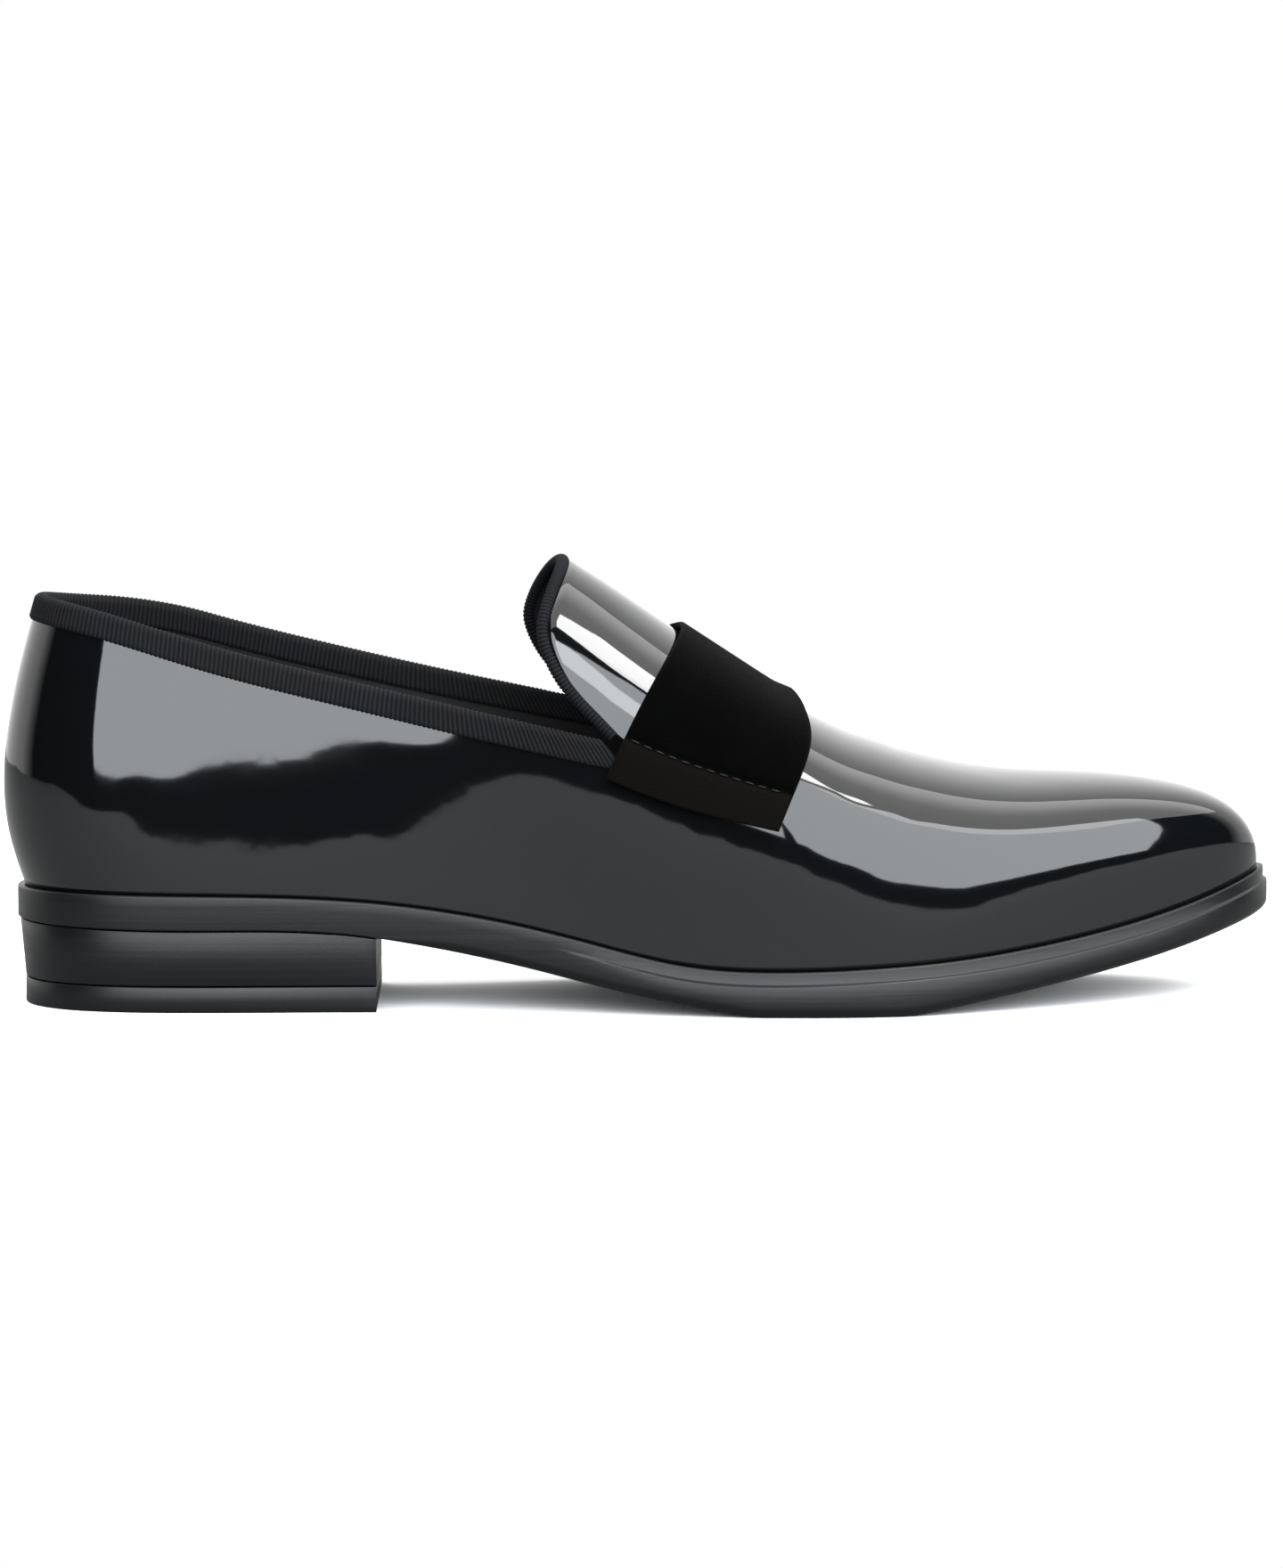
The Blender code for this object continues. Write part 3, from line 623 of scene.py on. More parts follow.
def pile_velvet(colours):
    """Cut pile velvet: it swallows light, glows faintly at its edges and catches specks of lint."""
    material, tree, shader, place = start_material(
        "velvet_cut_pile", linear(colours.velvet), 1.0,
        Sheen_Weight=0.012, Sheen_Roughness=0.35, Specular_IOR_Level=0.02)
    # Tufts are about 0.4 mm apart, and the pile leans in patches about 12 mm across.
    tufts = add_node(tree, "ShaderNodeTexNoise", inputs={"Scale": 2400.0, "Detail": 2.0}, links={"Vector": place})
    patches = add_node(tree, "ShaderNodeTexNoise", inputs={"Scale": 85.0, "Detail": 3.0}, links={"Vector": place})
    deep = linear(colours.velvet)
    leaning = ramp(tree, patches.outputs["Fac"], ((0.40, deep), (0.80, linear("020202"))))
    hem = add_node(tree, "ShaderNodeAttribute", {"attribute_name": "hem"})
    worn = add_node(tree, "ShaderNodeMix", {"data_type": "RGBA"}, {}, {"Factor": hem.outputs["Fac"]})
    tree.links.new(leaning.outputs["Color"], worn.inputs[6])
    worn.inputs[7].default_value = linear(colours.hem)
    # Lint specks are about 0.3 mm across and rare.
    lint = add_node(tree, "ShaderNodeTexVoronoi", inputs={"Scale": 260.0}, links={"Vector": place})
    speck = ramp(tree, lint.outputs["Distance"], ((0.035, (1.0, 1.0, 1.0)), (0.05, (0.0, 0.0, 0.0))))
    rare = add_node(tree, "ShaderNodeTexNoise", inputs={"Scale": 130.0}, links={"Vector": place})
    gate = ramp(tree, rare.outputs["Fac"], ((0.60, (0.0, 0.0, 0.0)), (0.64, (1.0, 1.0, 1.0))))
    both = add_node(tree, "ShaderNodeMath", {"operation": "MULTIPLY"})
    tree.links.new(speck.outputs["Color"], both.inputs[0])
    tree.links.new(gate.outputs["Color"], both.inputs[1])
    linted = add_node(tree, "ShaderNodeMix", {"data_type": "RGBA"}, {}, {"Factor": both.outputs["Value"]})
    tree.links.new(worn.outputs[2], linted.inputs[6])
    linted.inputs[7].default_value = linear("2A2828")
    tree.links.new(linted.outputs[2], shader.inputs["Base Color"])
    bump = add_node(tree, "ShaderNodeBump", inputs={"Strength": 0.8, "Distance": 0.0003},
                    links={"Height": tufts.outputs["Fac"]})
    tree.links.new(bump.outputs["Normal"], shader.inputs["Normal"])
    return material


def moulded_rubber(colours):
    """Moulded rubber with a dressed edge: satin, slightly streaked along the sole."""
    material, tree, shader, place = start_material(
        "rubber_moulded_satin", linear(colours.rubber), 0.36, IOR=1.5, Specular_IOR_Level=0.24)
    # Streaks from dressing the edge run along X, about 1 mm apart up the side.
    stretch = add_node(tree, "ShaderNodeMapping", links={"Vector": place})
    stretch.inputs["Scale"].default_value = (12.0, 12.0, 900.0)
    streaks = add_node(tree, "ShaderNodeTexNoise", inputs={"Scale": 1.0, "Detail": 3.0},
                       links={"Vector": stretch.outputs["Vector"]})
    rough = add_node(tree, "ShaderNodeMapRange", inputs={"To Min": 0.26, "To Max": 0.46},
                     links={"Value": streaks.outputs["Fac"]})
    tree.links.new(rough.outputs["Result"], shader.inputs["Roughness"])
    grain = add_node(tree, "ShaderNodeTexNoise", inputs={"Scale": 2500.0}, links={"Vector": place})
    low = add_node(tree, "ShaderNodeBump", inputs={"Strength": 0.15, "Distance": 0.0002},
                   links={"Height": streaks.outputs["Fac"]})
    bump = add_node(tree, "ShaderNodeBump", inputs={"Strength": 0.12, "Distance": 0.0001},
                    links={"Height": grain.outputs["Fac"], "Normal": low.outputs["Normal"]})
    tree.links.new(bump.outputs["Normal"], shader.inputs["Normal"])
    return material


def thread(colours):
    """Bonded polyester thread: smooth black filament with a small dull shine."""
    material, tree, shader, place = start_material("thread_bonded_black", linear("040404"), 0.6, Specular_IOR_Level=0.2)
    twist = add_node(tree, "ShaderNodeTexNoise", inputs={"Scale": 3000.0}, links={"Vector": place})
    bump = add_node(tree, "ShaderNodeBump", inputs={"Strength": 0.4, "Distance": 0.0001},
                    links={"Height": twist.outputs["Fac"]})
    tree.links.new(bump.outputs["Normal"], shader.inputs["Normal"])
    return material


def studio_white(colours):
    """Matt studio floor: burnt out to white in the picture, while the patent leather mirrors its true grey."""
    material, tree, shader, place = start_material("studio_floor_painted", linear(colours.floor), 0.9)
    path = add_node(tree, "ShaderNodeLightPath")
    seen = add_node(tree, "ShaderNodeMix", {"data_type": "RGBA"}, {}, {"Factor": path.outputs["Is Camera Ray"]})
    seen.inputs[6].default_value = linear(colours.floor)
    seen.inputs[7].default_value = linear("F4F4F4")
    tree.links.new(seen.outputs[2], shader.inputs["Base Color"])
    tone = add_node(tree, "ShaderNodeTexNoise", inputs={"Scale": 3.0}, links={"Vector": place})
    rough = add_node(tree, "ShaderNodeMapRange", inputs={"To Min": 0.88, "To Max": 0.95},
                     links={"Value": tone.outputs["Fac"]})
    tree.links.new(rough.outputs["Result"], shader.inputs["Roughness"])
    return material


FINISHES = {
    "patent": patent_leather,
    "lining": lining_leather,
    "ribbon": grosgrain_ribbon,
    "velvet": pile_velvet,
    "rubber": moulded_rubber,
    "thread": thread,
    "floor": studio_white,
}


def finish_of(context, key):
    """Return a finish, made once."""
    tag = "loafer_" + key
    for material in bpy.data.materials:
        if material.get("finish") == tag:
            return material
    material = FINISHES[key](context.scene.loafer_colours)
    material["finish"] = tag
    return material


def frame_shift():
    """Offset from the last's own coordinates to the frame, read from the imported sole."""
    plan = feather_line(-2.0 * np.arange(72) / 72, LIP_WIDTH + STEP_WIDTH)
    low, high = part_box("outsole")
    toe = feather_line(np.array([1.0]), LIP_WIDTH + STEP_WIDTH)[0, 0]
    middle = 0.5 * (plan[:, 1].min() + plan[:, 1].max())
    return np.array([high[0] - toe, 0.5 * (low[1] + high[1]) - middle, 0.0])


SHIFT = frame_shift()


def show_mesh(name, points, faces, materials, body="root", looks=None):
    """Make a shown piece from points in the last's coordinates."""
    mesh = bpy.data.meshes.new(name)
    mesh.from_pydata((np.asarray(points).reshape(-1, 3) + SHIFT).tolist(), [], faces)
    if looks is not None:
        mesh.polygons.foreach_set("material_index", looks)
    work = bmesh.new()
    work.from_mesh(mesh)
    bmesh.ops.recalc_face_normals(work, faces=work.faces)
    work.to_mesh(mesh)
    work.free()
    mesh.shade_smooth()
    for material in materials:
        mesh.materials.append(material)
    piece = bpy.data.objects.new(name, mesh)
    bpy.context.scene.collection.objects.link(piece)
    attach(piece, body)
    return piece


def bridge(first, second, count, closed=True):
    """Quads between two rings of points that start at the given indices."""
    steps = count if closed else count - 1
    return [(first + i, first + (i + 1) % count, second + (i + 1) % count, second + i)
            for i in range(steps)]


def ring_faces(sections, closed):
    """Faces of a solid swept through rings, joined end to end or capped."""
    count, size = sections.shape[:2]
    faces = []
    for i in range(count if closed else count - 1):
        faces += bridge(i * size, (i + 1) % count * size, size)
    if not closed:
        faces.append(tuple(range(size)))
        faces.append(tuple((count - 1) * size + i for i in reversed(range(size))))
    return faces


def ladder(start, count, paired_ends=False):
    """Fill an outline whose points pair up left and right behind its first one."""
    half = count // 2
    faces = [(start, start + 1, start + count - 1)]
    for i in range(1, half):
        left, right = start + i, start + count - i
        if right - 1 > left + 1:
            faces.append((left, left + 1, right - 1, right))
        elif right - 1 == left + 1:
            faces.append((left, left + 1, right))
    return faces


def creases(points, normals, depth):
    """Soft troughs of the vamp's flex line and of the quarter under the collar."""
    moved = np.zeros(len(points.reshape(-1, 3)))
    flat = points.reshape(-1, 3)
    # Each trough: middle of its line, direction along it, half length and half width, in shares of the shoe.
    for x, z, lean, reach, width, share in (
        (0.655, 0.19, 2.2, 0.060, 0.016, 0.8),
        (0.700, 0.17, 2.6, 0.050, 0.014, 0.6),
        (0.390, 0.23, -0.5, 0.050, 0.012, 1.0),
        (0.300, 0.24, -0.4, 0.060, 0.016, 0.9),
        (0.130, 0.22, 1.4, 0.050, 0.020, 0.9),
        (0.090, 0.17, 1.6, 0.050, 0.018, -0.7),
    ):
        away_x = (flat[:, 0] / SHOE_LENGTH - x)
        away_z = (flat[:, 2] / SHOE_LENGTH - z)
        length = math.hypot(1.0, lean)
        along = (away_x + lean * away_z) / length
        across = (away_z - lean * away_x) / length
        moved -= share * np.exp(-(along / reach) ** 2 - (across / width) ** 2)
    return points + normals * (depth * moved).reshape(points.shape[:-1])[..., None]


def upper_cut(turns):
    """Climb at which the upper ends, under the binding or against the piping."""
    share = np.abs((turns + 1.0) % 2.0 - 1.0)
    collar_end = BINDING_DEPTH - 0.0012
    tab_end = 0.3 * PIPING_WIDTH
    cut = collar_end + (tab_end - collar_end) * ease((share - NOTCH_COLUMN) / NOTCH_BLEND)
    return climb_below_topline(turns, cut)


def build_upper(context):
    """Patent leather skin and its lining, one shell over the last."""
    sizes = context.scene.loafer_sizes
    turns = -2.0 * np.arange(SKIN_COLUMNS) / SKIN_COLUMNS
    top = upper_cut(turns)
    rising = top * np.linspace(0.0, 1.0, SKIN_ROWS + 1)[:, None]
    outer = creases(upper_point(turns, rising), upper_normal(turns, rising), sizes.crease_depth)
    falling = top * np.linspace(1.0, 0.0, LINING_ROWS + 1)[:, None]
    inner = upper_point(turns, falling) - upper_normal(turns, falling) * WALL
    rings = np.concatenate([outer, inner])
    looks = np.zeros(len(rings) * SKIN_COLUMNS, dtype=int)
    looks[(SKIN_ROWS + 1) * SKIN_COLUMNS:] = 1
    materials = [finish_of(context, "patent"), finish_of(context, "lining")]
    skin = show_mesh("upper_skin", rings, ring_faces(rings, True), materials, looks=looks.tolist())
    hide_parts("upper")
    return skin


def rib_columns(start, end, pitch, middle_of):
    """Turns along an edge at equal lengths, and each one's place in its rib from 0 to 1."""
    coarse = np.linspace(start, end, 400)
    line = middle_of(coarse)
    length = np.concatenate([[0.0], np.cumsum(np.linalg.norm(np.diff(line, axis=0), axis=1))])
    count = int(length[-1] / pitch) * POINTS_PER_RIB
    along = np.linspace(0.0, length[-1], count + 1)
    return np.interp(along, length, coarse), (np.arange(count + 1) % POINTS_PER_RIB) / POINTS_PER_RIB


def mark_rib_shade(piece, phase, size):
    """Store how high each vertex lies on its rib, for the painted shade that darkens the ribbon between its ribs."""
    rib = piece.data.attributes.new("rib", "FLOAT", "POINT")
    height = 0.5 - 0.5 * np.cos(2.0 * math.pi * phase)
    rib.data.foreach_set("value", np.repeat(height, size).tolist())


def build_binding(context):
    """Grosgrain binding folded over the collar, with its ribs modelled."""
    sizes = context.scene.loafer_sizes
    turns, phase = rib_columns(-BINDING_END, BINDING_END, sizes.rib_pitch, lambda t: near_topline(t, 0.0, 0.0 * t))
    rib = sizes.rib_height * (0.5 - 0.5 * np.cos(2.0 * math.pi * phase))
    outside = BINDING_PROUD
    inside = -WALL - BINDING_PROUD
    middle = 0.5 * (outside + inside)
    crown = 0.5 * (outside - inside)
    section = [(BINDING_DEPTH, middle + 0.55 * crown, 0.0), (BINDING_DEPTH, outside - 0.0002, 0.6)]
    section += [(BINDING_DEPTH * share, outside, 1.0) for share in (0.93, 0.8, 0.65, 0.5, 0.36)]
    for degrees in range(0, 181, 20):
        angle = math.radians(degrees)
        section.append((crown * (0.9 - 0.9 * math.sin(angle)), middle + crown * math.cos(angle), 1.0))
    section += [(BINDING_DEPTH * share, inside, 1.0) for share in (0.36, 0.6, 0.85)]
    section += [(BINDING_DEPTH, inside, 0.6), (BINDING_DEPTH, middle - 0.55 * crown, 0.0)]
    downs = []
    outs = []
    for down, out, share in section:
        on_face = down > 0.5 * crown
        sign = 1.0 if out >= middle else -1.0
        scallop = 0.00012 * np.cos(2.0 * math.pi * phase) * (down == BINDING_DEPTH)
        downs.append(down + scallop - (0.0 if on_face else share) * rib)
        outs.append(out + (share * sign if on_face else 0.0) * rib)
    rings = near_topline(turns, np.array(downs), np.array(outs)).swapaxes(0, 1)
    piece = show_mesh("collar_binding_ribbed", rings, ring_faces(rings, False), [finish_of(context, "ribbon")])
    mark_rib_shade(piece, phase, rings.shape[1])
    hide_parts("collar_binding")
    return piece


def build_piping(context):
    """Grosgrain-covered cord along the tab's edge, with its ribs modelled."""
    sizes = context.scene.loafer_sizes
    turns, phase = rib_columns(PIPING_START, 2.0 - PIPING_START, sizes.piping_pitch,
                               lambda t: near_topline(t, 0.0, -0.5 * WALL + 0.0 * t))
    middle = near_topline(turns, 0.0, -0.5 * WALL + 0.0 * turns)
    out = upper_normal(turns, 1.0)
    along = unit(np.gradient(middle, axis=0))
    down = unit(np.cross(along, out))
    radius = 0.5 * PIPING_WIDTH - 0.00006 + sizes.rib_height * (0.5 - 0.5 * np.cos(2.0 * math.pi * phase))
    rings = []
    for degrees in range(0, 360, 20):
        angle = math.radians(degrees)
        rings.append(middle + radius[:, None] * (math.cos(angle) * out + math.sin(angle) * down))
    rings = np.stack(rings, axis=1)
    piece = show_mesh("tab_piping_ribbed", rings, ring_faces(rings, False), [finish_of(context, "ribbon")])
    mark_rib_shade(piece, phase, rings.shape[1])
    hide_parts("tab_piping")
    return piece


def strap_edges(angles):
    """Stations of the strap's rear and front edge at girth angles."""
    knots = np.radians(column(STRAP_EDGES, STRAP_EDGE_COLUMNS, "angle"))
    rear = spline(knots, column(STRAP_EDGES, STRAP_EDGE_COLUMNS, "rear"), angles) * LAST_LENGTH
    front = spline(knots, column(STRAP_EDGES, STRAP_EDGE_COLUMNS, "front"), angles) * LAST_LENGTH
    return rear, front


def strap_point(angles, share, height):
    """Point of the strap at a share of its width and a height over the last."""
    rear, front = strap_edges(angles)
    station = rear + (front - rear) * share
    return last_point(station, angles) + last_normal(station, angles) * np.asarray(height)[..., None]


def build_strap(context):
    """Velvet strap with soft thick edges, and the thread of its hem."""
    sizes = context.scene.loafer_sizes
    first = math.radians(STRAP_EDGES[0][0])
    last = math.radians(STRAP_EDGES[-1][0])
    angles = np.linspace(first, last, 241)
    low = BINDING_PROUD + CLEARANCE
    ends = np.minimum(angles - first, last - angles) * 0.042
    stitched = np.exp(-((ends - sizes.hem_width) / 0.0007) ** 2)
    frayed = 0.5 + 0.5 * np.sin(angles * 311.0) * np.sin(angles * 173.0)
    section = []
    for step in range(41):
        share = step / 40.0
        edge = min(share, 1.0 - share) * 0.035
        full = math.sqrt(1.0 - (1.0 - min(edge / 0.0009, 1.0)) ** 2)
        section.append((share, 0.45 + 0.55 * full))
    rings = []
    for share, full in section:
        lift = 0.0007 * ease((share - 0.8) / 0.2)
        fuzz = 0.00006 * frayed * (share in (0.0, 1.0))
        height = low + lift + STRAP_THICKNESS * full - 0.0005 * stitched + fuzz
        rings.append(strap_point(angles, np.full_like(angles, share), height))
    for share, full in reversed(section):
        lift = 0.0007 * ease((share - 0.8) / 0.2)
        height = low + lift + STRAP_THICKNESS * 0.35 * (1.0 - full) / 0.55
        rings.append(strap_point(angles, np.full_like(angles, share), height + 0.0 * angles))
    rings = np.stack(rings, axis=1)
    piece = show_mesh("vamp_strap_velvet", rings, ring_faces(rings, False), [finish_of(context, "velvet")])
    hem = piece.data.attributes.new("hem", "FLOAT", "POINT")
    worn = np.repeat(1.0 - ease((ends - sizes.hem_width + 0.0006) / 0.0012), rings.shape[1])
    hem.data.foreach_set("value", worn.tolist())
    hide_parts("vamp_strap")
    for name, start, step in (("outer", first, 1.0), ("inner", last, -1.0)):
        at = start + step * sizes.hem_width / 0.042
        shares = np.linspace(0.03, 0.97, 200)
        flat = np.full_like(shares, at)
        line = strap_point(flat, shares, low + STRAP_THICKNESS - 0.00025 + 0.0007 * ease((shares - 0.8) / 0.2))
        row = stitch_row("strap_stitches_" + name, line, sizes.stitch_pitch, sizes.thread_width, context)
    return piece


def stitch_row(name, line, pitch, width, context):
    """Row of sewn stitches along a line, each a short bowed thread."""
    length = np.concatenate([[0.0], np.cumsum(np.linalg.norm(np.diff(line, axis=0), axis=1))])
    count = int(length[-1] / pitch)
    points = []
    faces = []
    for i in range(count):
        where = np.interp((np.linspace(0.12, 0.80, 7) + i) * pitch, length, np.arange(len(line)))
        path = np.stack([np.interp(where, np.arange(len(line)), line[:, k]) for k in range(3)], axis=1)
        along = unit(path[-1] - path[0])
        side = unit(np.cross(along, (0.0, 0.3, 1.0)))
        up = np.cross(side, along)
        rings = []
        for j, place in enumerate(path):
            radius = 0.5 * width * (0.35 + 0.65 * math.sin(math.pi * (j + 0.5) / 7.0))
            turn = [2.0 * math.pi * k / 6.0 for k in range(6)]
            rings.append([place + radius * (math.cos(a) * side + math.sin(a) * up) for a in turn])
        offset = len(points)
        points += [point for ring in rings for point in ring]
        faces += [tuple(v + offset for v in face) for face in ring_faces(np.array(rings), False)]
    return show_mesh(name, np.array(points), faces, [finish_of(context, "thread")])


def build_lining_stitches(context):
    """Stitch line on the lining below the collar, where the binding is sewn down."""
    sizes = context.scene.loafer_sizes
    turns = np.linspace(-0.9 * NOTCH_COLUMN, 0.9 * NOTCH_COLUMN, 900)
    wander = 0.0004 * np.sin(turns * 37.0) + 0.0003 * np.sin(turns * 91.0)
    line = near_topline(turns, BINDING_DEPTH + 0.0035 + wander, -WALL - 0.0001 + 0.0 * turns)
    row = stitch_row("lining_stitches", line, sizes.stitch_pitch, sizes.thread_width, context)
    return row


def at_height(points, height):
    """Put plan points at a height for each."""
    return np.stack([points[:, 0], points[:, 1], np.broadcast_to(height, len(points))], axis=-1)


def show_stack(context, name, node, rings, key="rubber"):
    """Make a shown solid from outlines stacked from top to bottom, in place of a node."""
    count = len(rings[0])
    faces = ladder(0, count) + ladder((len(rings) - 1) * count, count)
    for i in range(len(rings) - 1):
        faces += bridge(i * count, (i + 1) * count, count)
    piece = show_mesh(name, np.concatenate(rings), faces, [finish_of(context, key)])
    piece.data.set_sharp_from_angle(angle=math.radians(50.0))
    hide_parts(node)
    return piece


def sole_step(station):
    """How far the sole's side stands out below its lip, from the arch forward."""
    return STEP_WIDTH * ease((station / SHOE_LENGTH - STEP_START) / STEP_REACH)


def sole_edge_radius(station):
    """Rounding of the sole's lower edge: nearly sharp over the heel, full in front of it."""
    forward = ease((station - HEEL_LENGTH) / SEAT_EDGE_REACH)
    return SEAT_EDGE_RADIUS + (SOLE_EDGE_RADIUS - SEAT_EDGE_RADIUS) * forward


def build_outsole(context):
    """Moulded sole with its lip, the step in its side and a rounded tread edge."""
    turns = -2.0 * np.arange(SKIN_COLUMNS) / SKIN_COLUMNS
    lip = feather_line(turns, LIP_WIDTH)
    step = sole_step(lip[:, 0])
    wide = feather_line(turns, LIP_WIDTH + step)
    inner = feather_line(turns, -WALL)
    top = feather_height(lip[:, 0]) - CLEARANCE
    bottom = underside_height(wide[:, 0])
    radius = sole_edge_radius(wide[:, 0])
    rings = [at_height(inner, feather_height(inner[:, 0]) - CLEARANCE)]
    for degrees in (90.0, 60.0, 30.0, 0.0):
        angle = math.radians(degrees)
        ring = feather_line(turns, LIP_WIDTH - LIP_SOFTNESS * (1.0 - math.cos(angle)))
        rings.append(at_height(ring, top - LIP_SOFTNESS * (1.0 - math.sin(angle))))
    for share, drop in ((0.0, -0.3), (0.2, 0.0), (0.8, 0.2), (1.0, 0.7)):
        rings.append(at_height(feather_line(turns, LIP_WIDTH + share * step), top - STEP_DROP - drop * STEP_WIDTH))
    for degrees in range(0, 91, 15):
        angle = math.radians(degrees)
        ring = feather_line(turns, LIP_WIDTH + step - radius * (1.0 - math.cos(angle)))
        rings.append(at_height(ring, bottom + radius * (1.0 - math.sin(angle))))
    return show_stack(context, "outsole_moulded", "outsole", rings)


def heel_outline(inset):
    """Heel outline in plan, from the back to the breast and round, pairs of outer and inner points."""
    breast = HEEL_LENGTH / HALF_LAST
    last_turn = math.acos(1.0 - breast) / math.pi
    side = np.linspace(0.0, last_turn, 49)
    outer = feather_line(-side, LIP_WIDTH - inset)
    inner = feather_line(side, LIP_WIDTH - inset)
    inner[:, 0] += BREAST_SKEW * (side / last_turn) ** 4
    return np.concatenate([outer, inner[:0:-1]])


def soft_block(outline_top, outline_base, top, base, edge):
    """Rings of a block whose upper and lower edges are rounded off."""
    centre = 0.5 * (outline_top.min(axis=0) + outline_top.max(axis=0))
    rings = []
    for inset, drop in ((1.0, 0.0), (0.3, 0.15), (0.0, 0.6)):
        rings.append((outline_top, inset * edge, top - drop * edge))
    for inset, drop in ((0.0, 0.6), (0.3, 0.15), (1.0, 0.0)):
        rings.append((outline_base, inset * edge, base + drop * edge))
    result = []
    for outline, inset, height in rings:
        away = unit((outline - centre) * (1.0, 1.0, 0.0))
        result.append(at_height(outline - away * inset, height))
    return result


def build_heel(context):
    """Heel block under the sole, with the fine line of its stacked look."""
    top = heel_outline(HEEL_SET_IN)
    base = heel_outline(HEEL_SET_IN + HEEL_TAPER)
    height = underside_height(top[:, 0]) - CLEARANCE
    rings = soft_block(top, base, height, TOP_PIECE_THICKNESS + CLEARANCE, 0.0003)
    return show_stack(context, "heel_block_satin", "heel", rings)


def build_top_piece(context):
    """Wearing layer under the heel block."""
    outline = heel_outline(HEEL_SET_IN + HEEL_TAPER)
    rings = soft_block(outline, outline, TOP_PIECE_THICKNESS, 0.0, 0.0004)
    return show_stack(context, "heel_top_piece_satin", "heel_top_piece", rings)


def dress_insole(context):
    """Give the footbed its lining leather."""
    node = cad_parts["insole"]
    node.data.materials.clear()
    node.data.materials.append(finish_of(context, "lining"))
    return node


def toward(azimuth, elevation):
    """Direction from the shoe, with the azimuth counted from the camera's side to the toe, in degrees."""
    turn = math.radians(azimuth)
    rise = math.radians(elevation)
    return Vector((math.sin(turn) * math.cos(rise), -math.cos(turn) * math.cos(rise), math.sin(rise)))


def softbox(name, azimuth, elevation, distance, size, radiance, colour):
    """Rectangular studio softbox with an even face, turned to the shoe."""
    lamp = bpy.data.lights.new(name, "AREA")
    lamp.shape = "RECTANGLE"
    lamp.size, lamp.size_y = size
    lamp.energy = radiance * math.pi * size[0] * size[1]
    lamp.color = colour
    piece = bpy.data.objects.new(name, lamp)
    away = toward(azimuth, elevation)
    piece.location = Vector((0.0, 0.0, 0.05)) + distance * away
    piece.rotation_euler = away.to_track_quat("Z", "Y").to_euler()
    bpy.context.scene.collection.objects.link(piece)
    return piece


# Studio: how far the white table reaches from the shoe, and where the camera stood
FLOOR_FRONT = 0.62
FLOOR_BACK = 1.0
FLOOR_SIDE = 1.6


def build_studio(context):
    """Pale floor, soft lights and white surroundings."""
    mesh = bpy.data.meshes.new("studio_floor")
    near, far, side = -FLOOR_FRONT, FLOOR_BACK, FLOOR_SIDE
    mesh.from_pydata([(-side, near, 0.0), (side, near, 0.0), (side, far, 0.0), (-side, far, 0.0)], [], [(0, 1, 2, 3)])
    mesh.materials.append(finish_of(context, "floor"))
    floor = bpy.data.objects.new("studio_floor", mesh)
    context.scene.collection.objects.link(floor)
    cool = (0.92, 0.96, 1.0)
    # Two wide softboxes stand side by side behind the camera, and a brighter window is above the right one.
    softbox("left_softbox", -19.0, 25.0, 2.1, (1.62, 1.79), 7.6, cool)
    softbox("right_softbox", 32.5, 25.0, 2.1, (2.50, 1.79), 7.6, cool)
    softbox("window_box", 39.0, 57.5, 1.6, (0.62, 0.44), 20.0, (1.0, 1.0, 1.0))
    softbox("top_softbox", 90.0, 82.0, 1.85, (2.4, 3.6), 2.6, (1.0, 1.0, 0.98))
    world = bpy.data.worlds.new("studio")
    world.use_nodes = True
    tree = world.node_tree
    tree.nodes.clear()
    path = add_node(tree, "ShaderNodeLightPath")
    seen = add_node(tree, "ShaderNodeBackground", inputs={"Color": (1.0, 1.0, 1.0, 1.0), "Strength": 1.0})
    place = add_node(tree, "ShaderNodeTexCoord")
    split = add_node(tree, "ShaderNodeSeparateXYZ", links={"Vector": place.outputs["Generated"]})
    # Behind the shoe the surroundings are a white sweep, and on the camera's side a dark room.
    sweep = ramp(tree, split.outputs["Y"], ((0.05, (0.004, 0.004, 0.004)), (0.35, (1.0, 1.0, 1.0))))
    lit = add_node(tree, "ShaderNodeBackground", inputs={"Strength": 1.35}, links={"Color": sweep.outputs["Color"]})
    mix = add_node(tree, "ShaderNodeMixShader", links={"Fac": path.outputs["Is Camera Ray"]})
    tree.links.new(lit.outputs["Background"], mix.inputs[1])
    tree.links.new(seen.outputs["Background"], mix.inputs[2])
    out = add_node(tree, "ShaderNodeOutputWorld")
    tree.links.new(mix.outputs["Shader"], out.inputs["Surface"])
    context.scene.world = world
    context.scene.view_settings.view_transform = "Standard"
    return floor


# Camera: where the photograph was taken from, worked out from the shoe's own length in it
PHOTO_WIDTH = 1440.0
PHOTO_HEIGHT = 1760.0
SHOE_LEFT_PIXEL = 8.0
SHOE_RIGHT_PIXEL = 1431.0
FLOOR_PIXEL = 1117.5
CAMERA_DISTANCE = 1.5
CAMERA_ELEVATION = math.radians(5.0)
CAMERA_TURN = math.radians(4.0)
SENSOR = 0.036


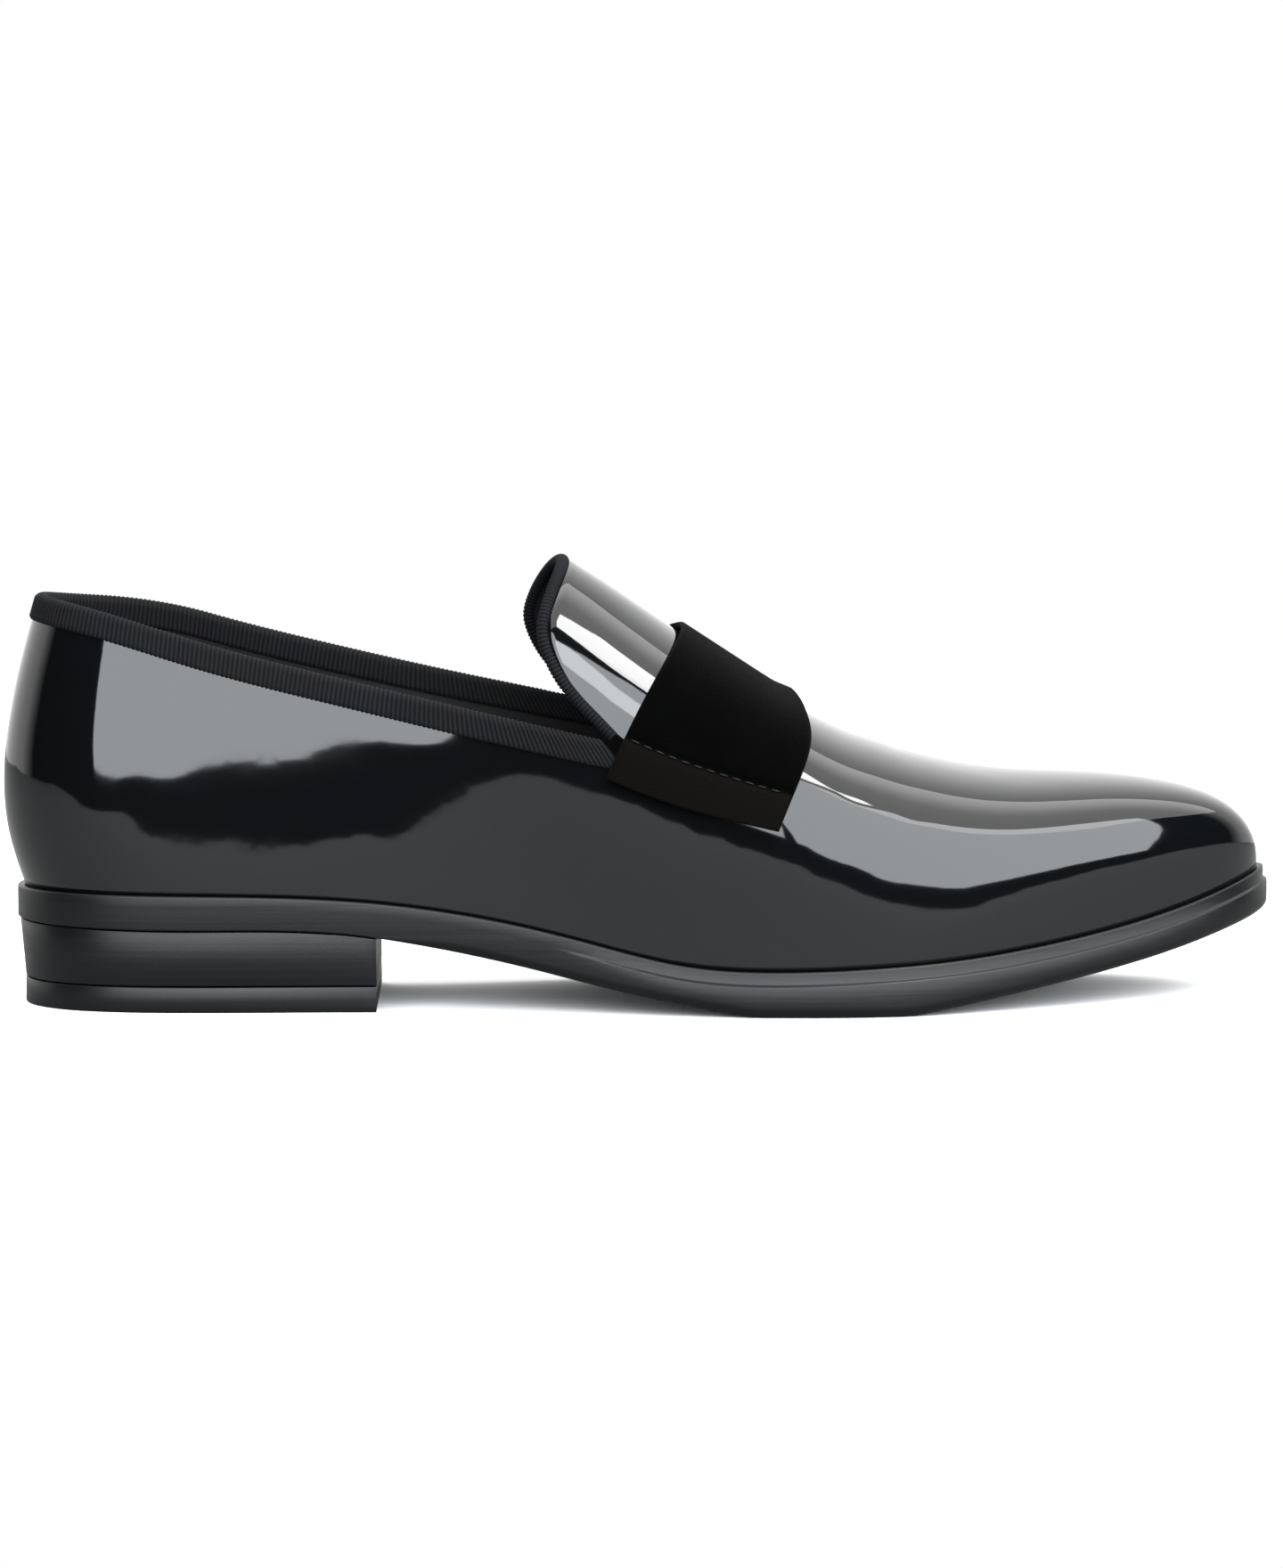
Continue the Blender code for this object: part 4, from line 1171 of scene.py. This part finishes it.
def build_camera(context):
    """Camera at the photograph's angle and framing."""
    scale = SHOE_LENGTH / (SHOE_RIGHT_PIXEL - SHOE_LEFT_PIXEL)
    camera = bpy.data.cameras.new("photo_camera")
    camera.sensor_width = 1000.0 * SENSOR
    camera.lens = 1000.0 * SENSOR * CAMERA_DISTANCE / (PHOTO_HEIGHT * scale)
    piece = bpy.data.objects.new("photo_camera", camera)
    middle = Vector((0.0, 0.0, (FLOOR_PIXEL - 0.5 * PHOTO_HEIGHT) * scale))
    flat = math.cos(CAMERA_ELEVATION)
    back = Vector((-math.sin(CAMERA_TURN) * flat, -math.cos(CAMERA_TURN) * flat, math.sin(CAMERA_ELEVATION)))
    piece.location = middle + CAMERA_DISTANCE * back
    piece.rotation_euler = (-back).to_track_quat("-Z", "Y").to_euler()
    context.scene.collection.objects.link(piece)
    context.scene.camera = piece
    return piece


def run(context, builders):
    """Run builders and raise an error where one makes nothing."""
    for builder in builders:
        if builder(context) is None:
            raise RuntimeError(builder.__name__ + " made nothing")
    return {"FINISHED"}


class LOAFER_OT_upper(bpy.types.Operator):
    """Build the patent leather upper with its lining."""

    bl_idname = "loafer.upper"
    bl_label = "Upper"

    def execute(self, context):
        return run(context, (build_upper, build_lining_stitches))


class LOAFER_OT_trims(bpy.types.Operator):
    """Build the ribbed binding of the collar and the piping of the tab."""

    bl_idname = "loafer.trims"
    bl_label = "Binding and piping"

    def execute(self, context):
        return run(context, (build_binding, build_piping))


class LOAFER_OT_strap(bpy.types.Operator):
    """Build the velvet strap and its stitches."""

    bl_idname = "loafer.strap"
    bl_label = "Velvet strap"

    def execute(self, context):
        return run(context, (build_strap,))


class LOAFER_OT_bottom(bpy.types.Operator):
    """Build sole, heel block and top piece, and dress the footbed."""

    bl_idname = "loafer.bottom"
    bl_label = "Sole and heel"

    def execute(self, context):
        return run(context, (build_outsole, build_heel, build_top_piece, dress_insole))


class LOAFER_OT_stage(bpy.types.Operator):
    """Set up floor, lights and camera."""

    bl_idname = "loafer.stage"
    bl_label = "Studio"

    def execute(self, context):
        return run(context, (build_studio, build_camera))


OPERATORS = (LOAFER_OT_upper, LOAFER_OT_trims, LOAFER_OT_strap, LOAFER_OT_bottom, LOAFER_OT_stage)


class LOAFER_PT_panel(bpy.types.Panel):
    """Sidebar panel with the loafer's builders and settings."""

    bl_idname = "LOAFER_PT_panel"
    bl_label = "Loafer"
    bl_space_type = "VIEW_3D"
    bl_region_type = "UI"
    bl_category = "Loafer"

    def draw(self, context):
        for operator in OPERATORS:
            self.layout.operator(operator.bl_idname)
        for group in (context.scene.loafer_sizes, context.scene.loafer_colours):
            for name in group.bl_rna.properties.keys():
                if name not in ("rna_type", "name"):
                    self.layout.prop(group, name)


CLASSES = (LoaferSizes, LoaferColours, *OPERATORS, LOAFER_PT_panel)


def register():
    """Register the classes and the scene's settings."""
    for item in CLASSES:
        bpy.utils.register_class(item)
    bpy.types.Scene.loafer_sizes = bpy.props.PointerProperty(type=LoaferSizes)
    bpy.types.Scene.loafer_colours = bpy.props.PointerProperty(type=LoaferColours)


def unregister():
    """Undo register."""
    del bpy.types.Scene.loafer_colours
    del bpy.types.Scene.loafer_sizes
    for item in reversed(CLASSES):
        bpy.utils.unregister_class(item)


def main():
    """Build everything in order."""
    register()
    bpy.ops.loafer.stage()
    bpy.ops.loafer.upper()
    bpy.ops.loafer.trims()
    bpy.ops.loafer.strap()
    bpy.ops.loafer.bottom()


if __name__ == "__main__":
    main()
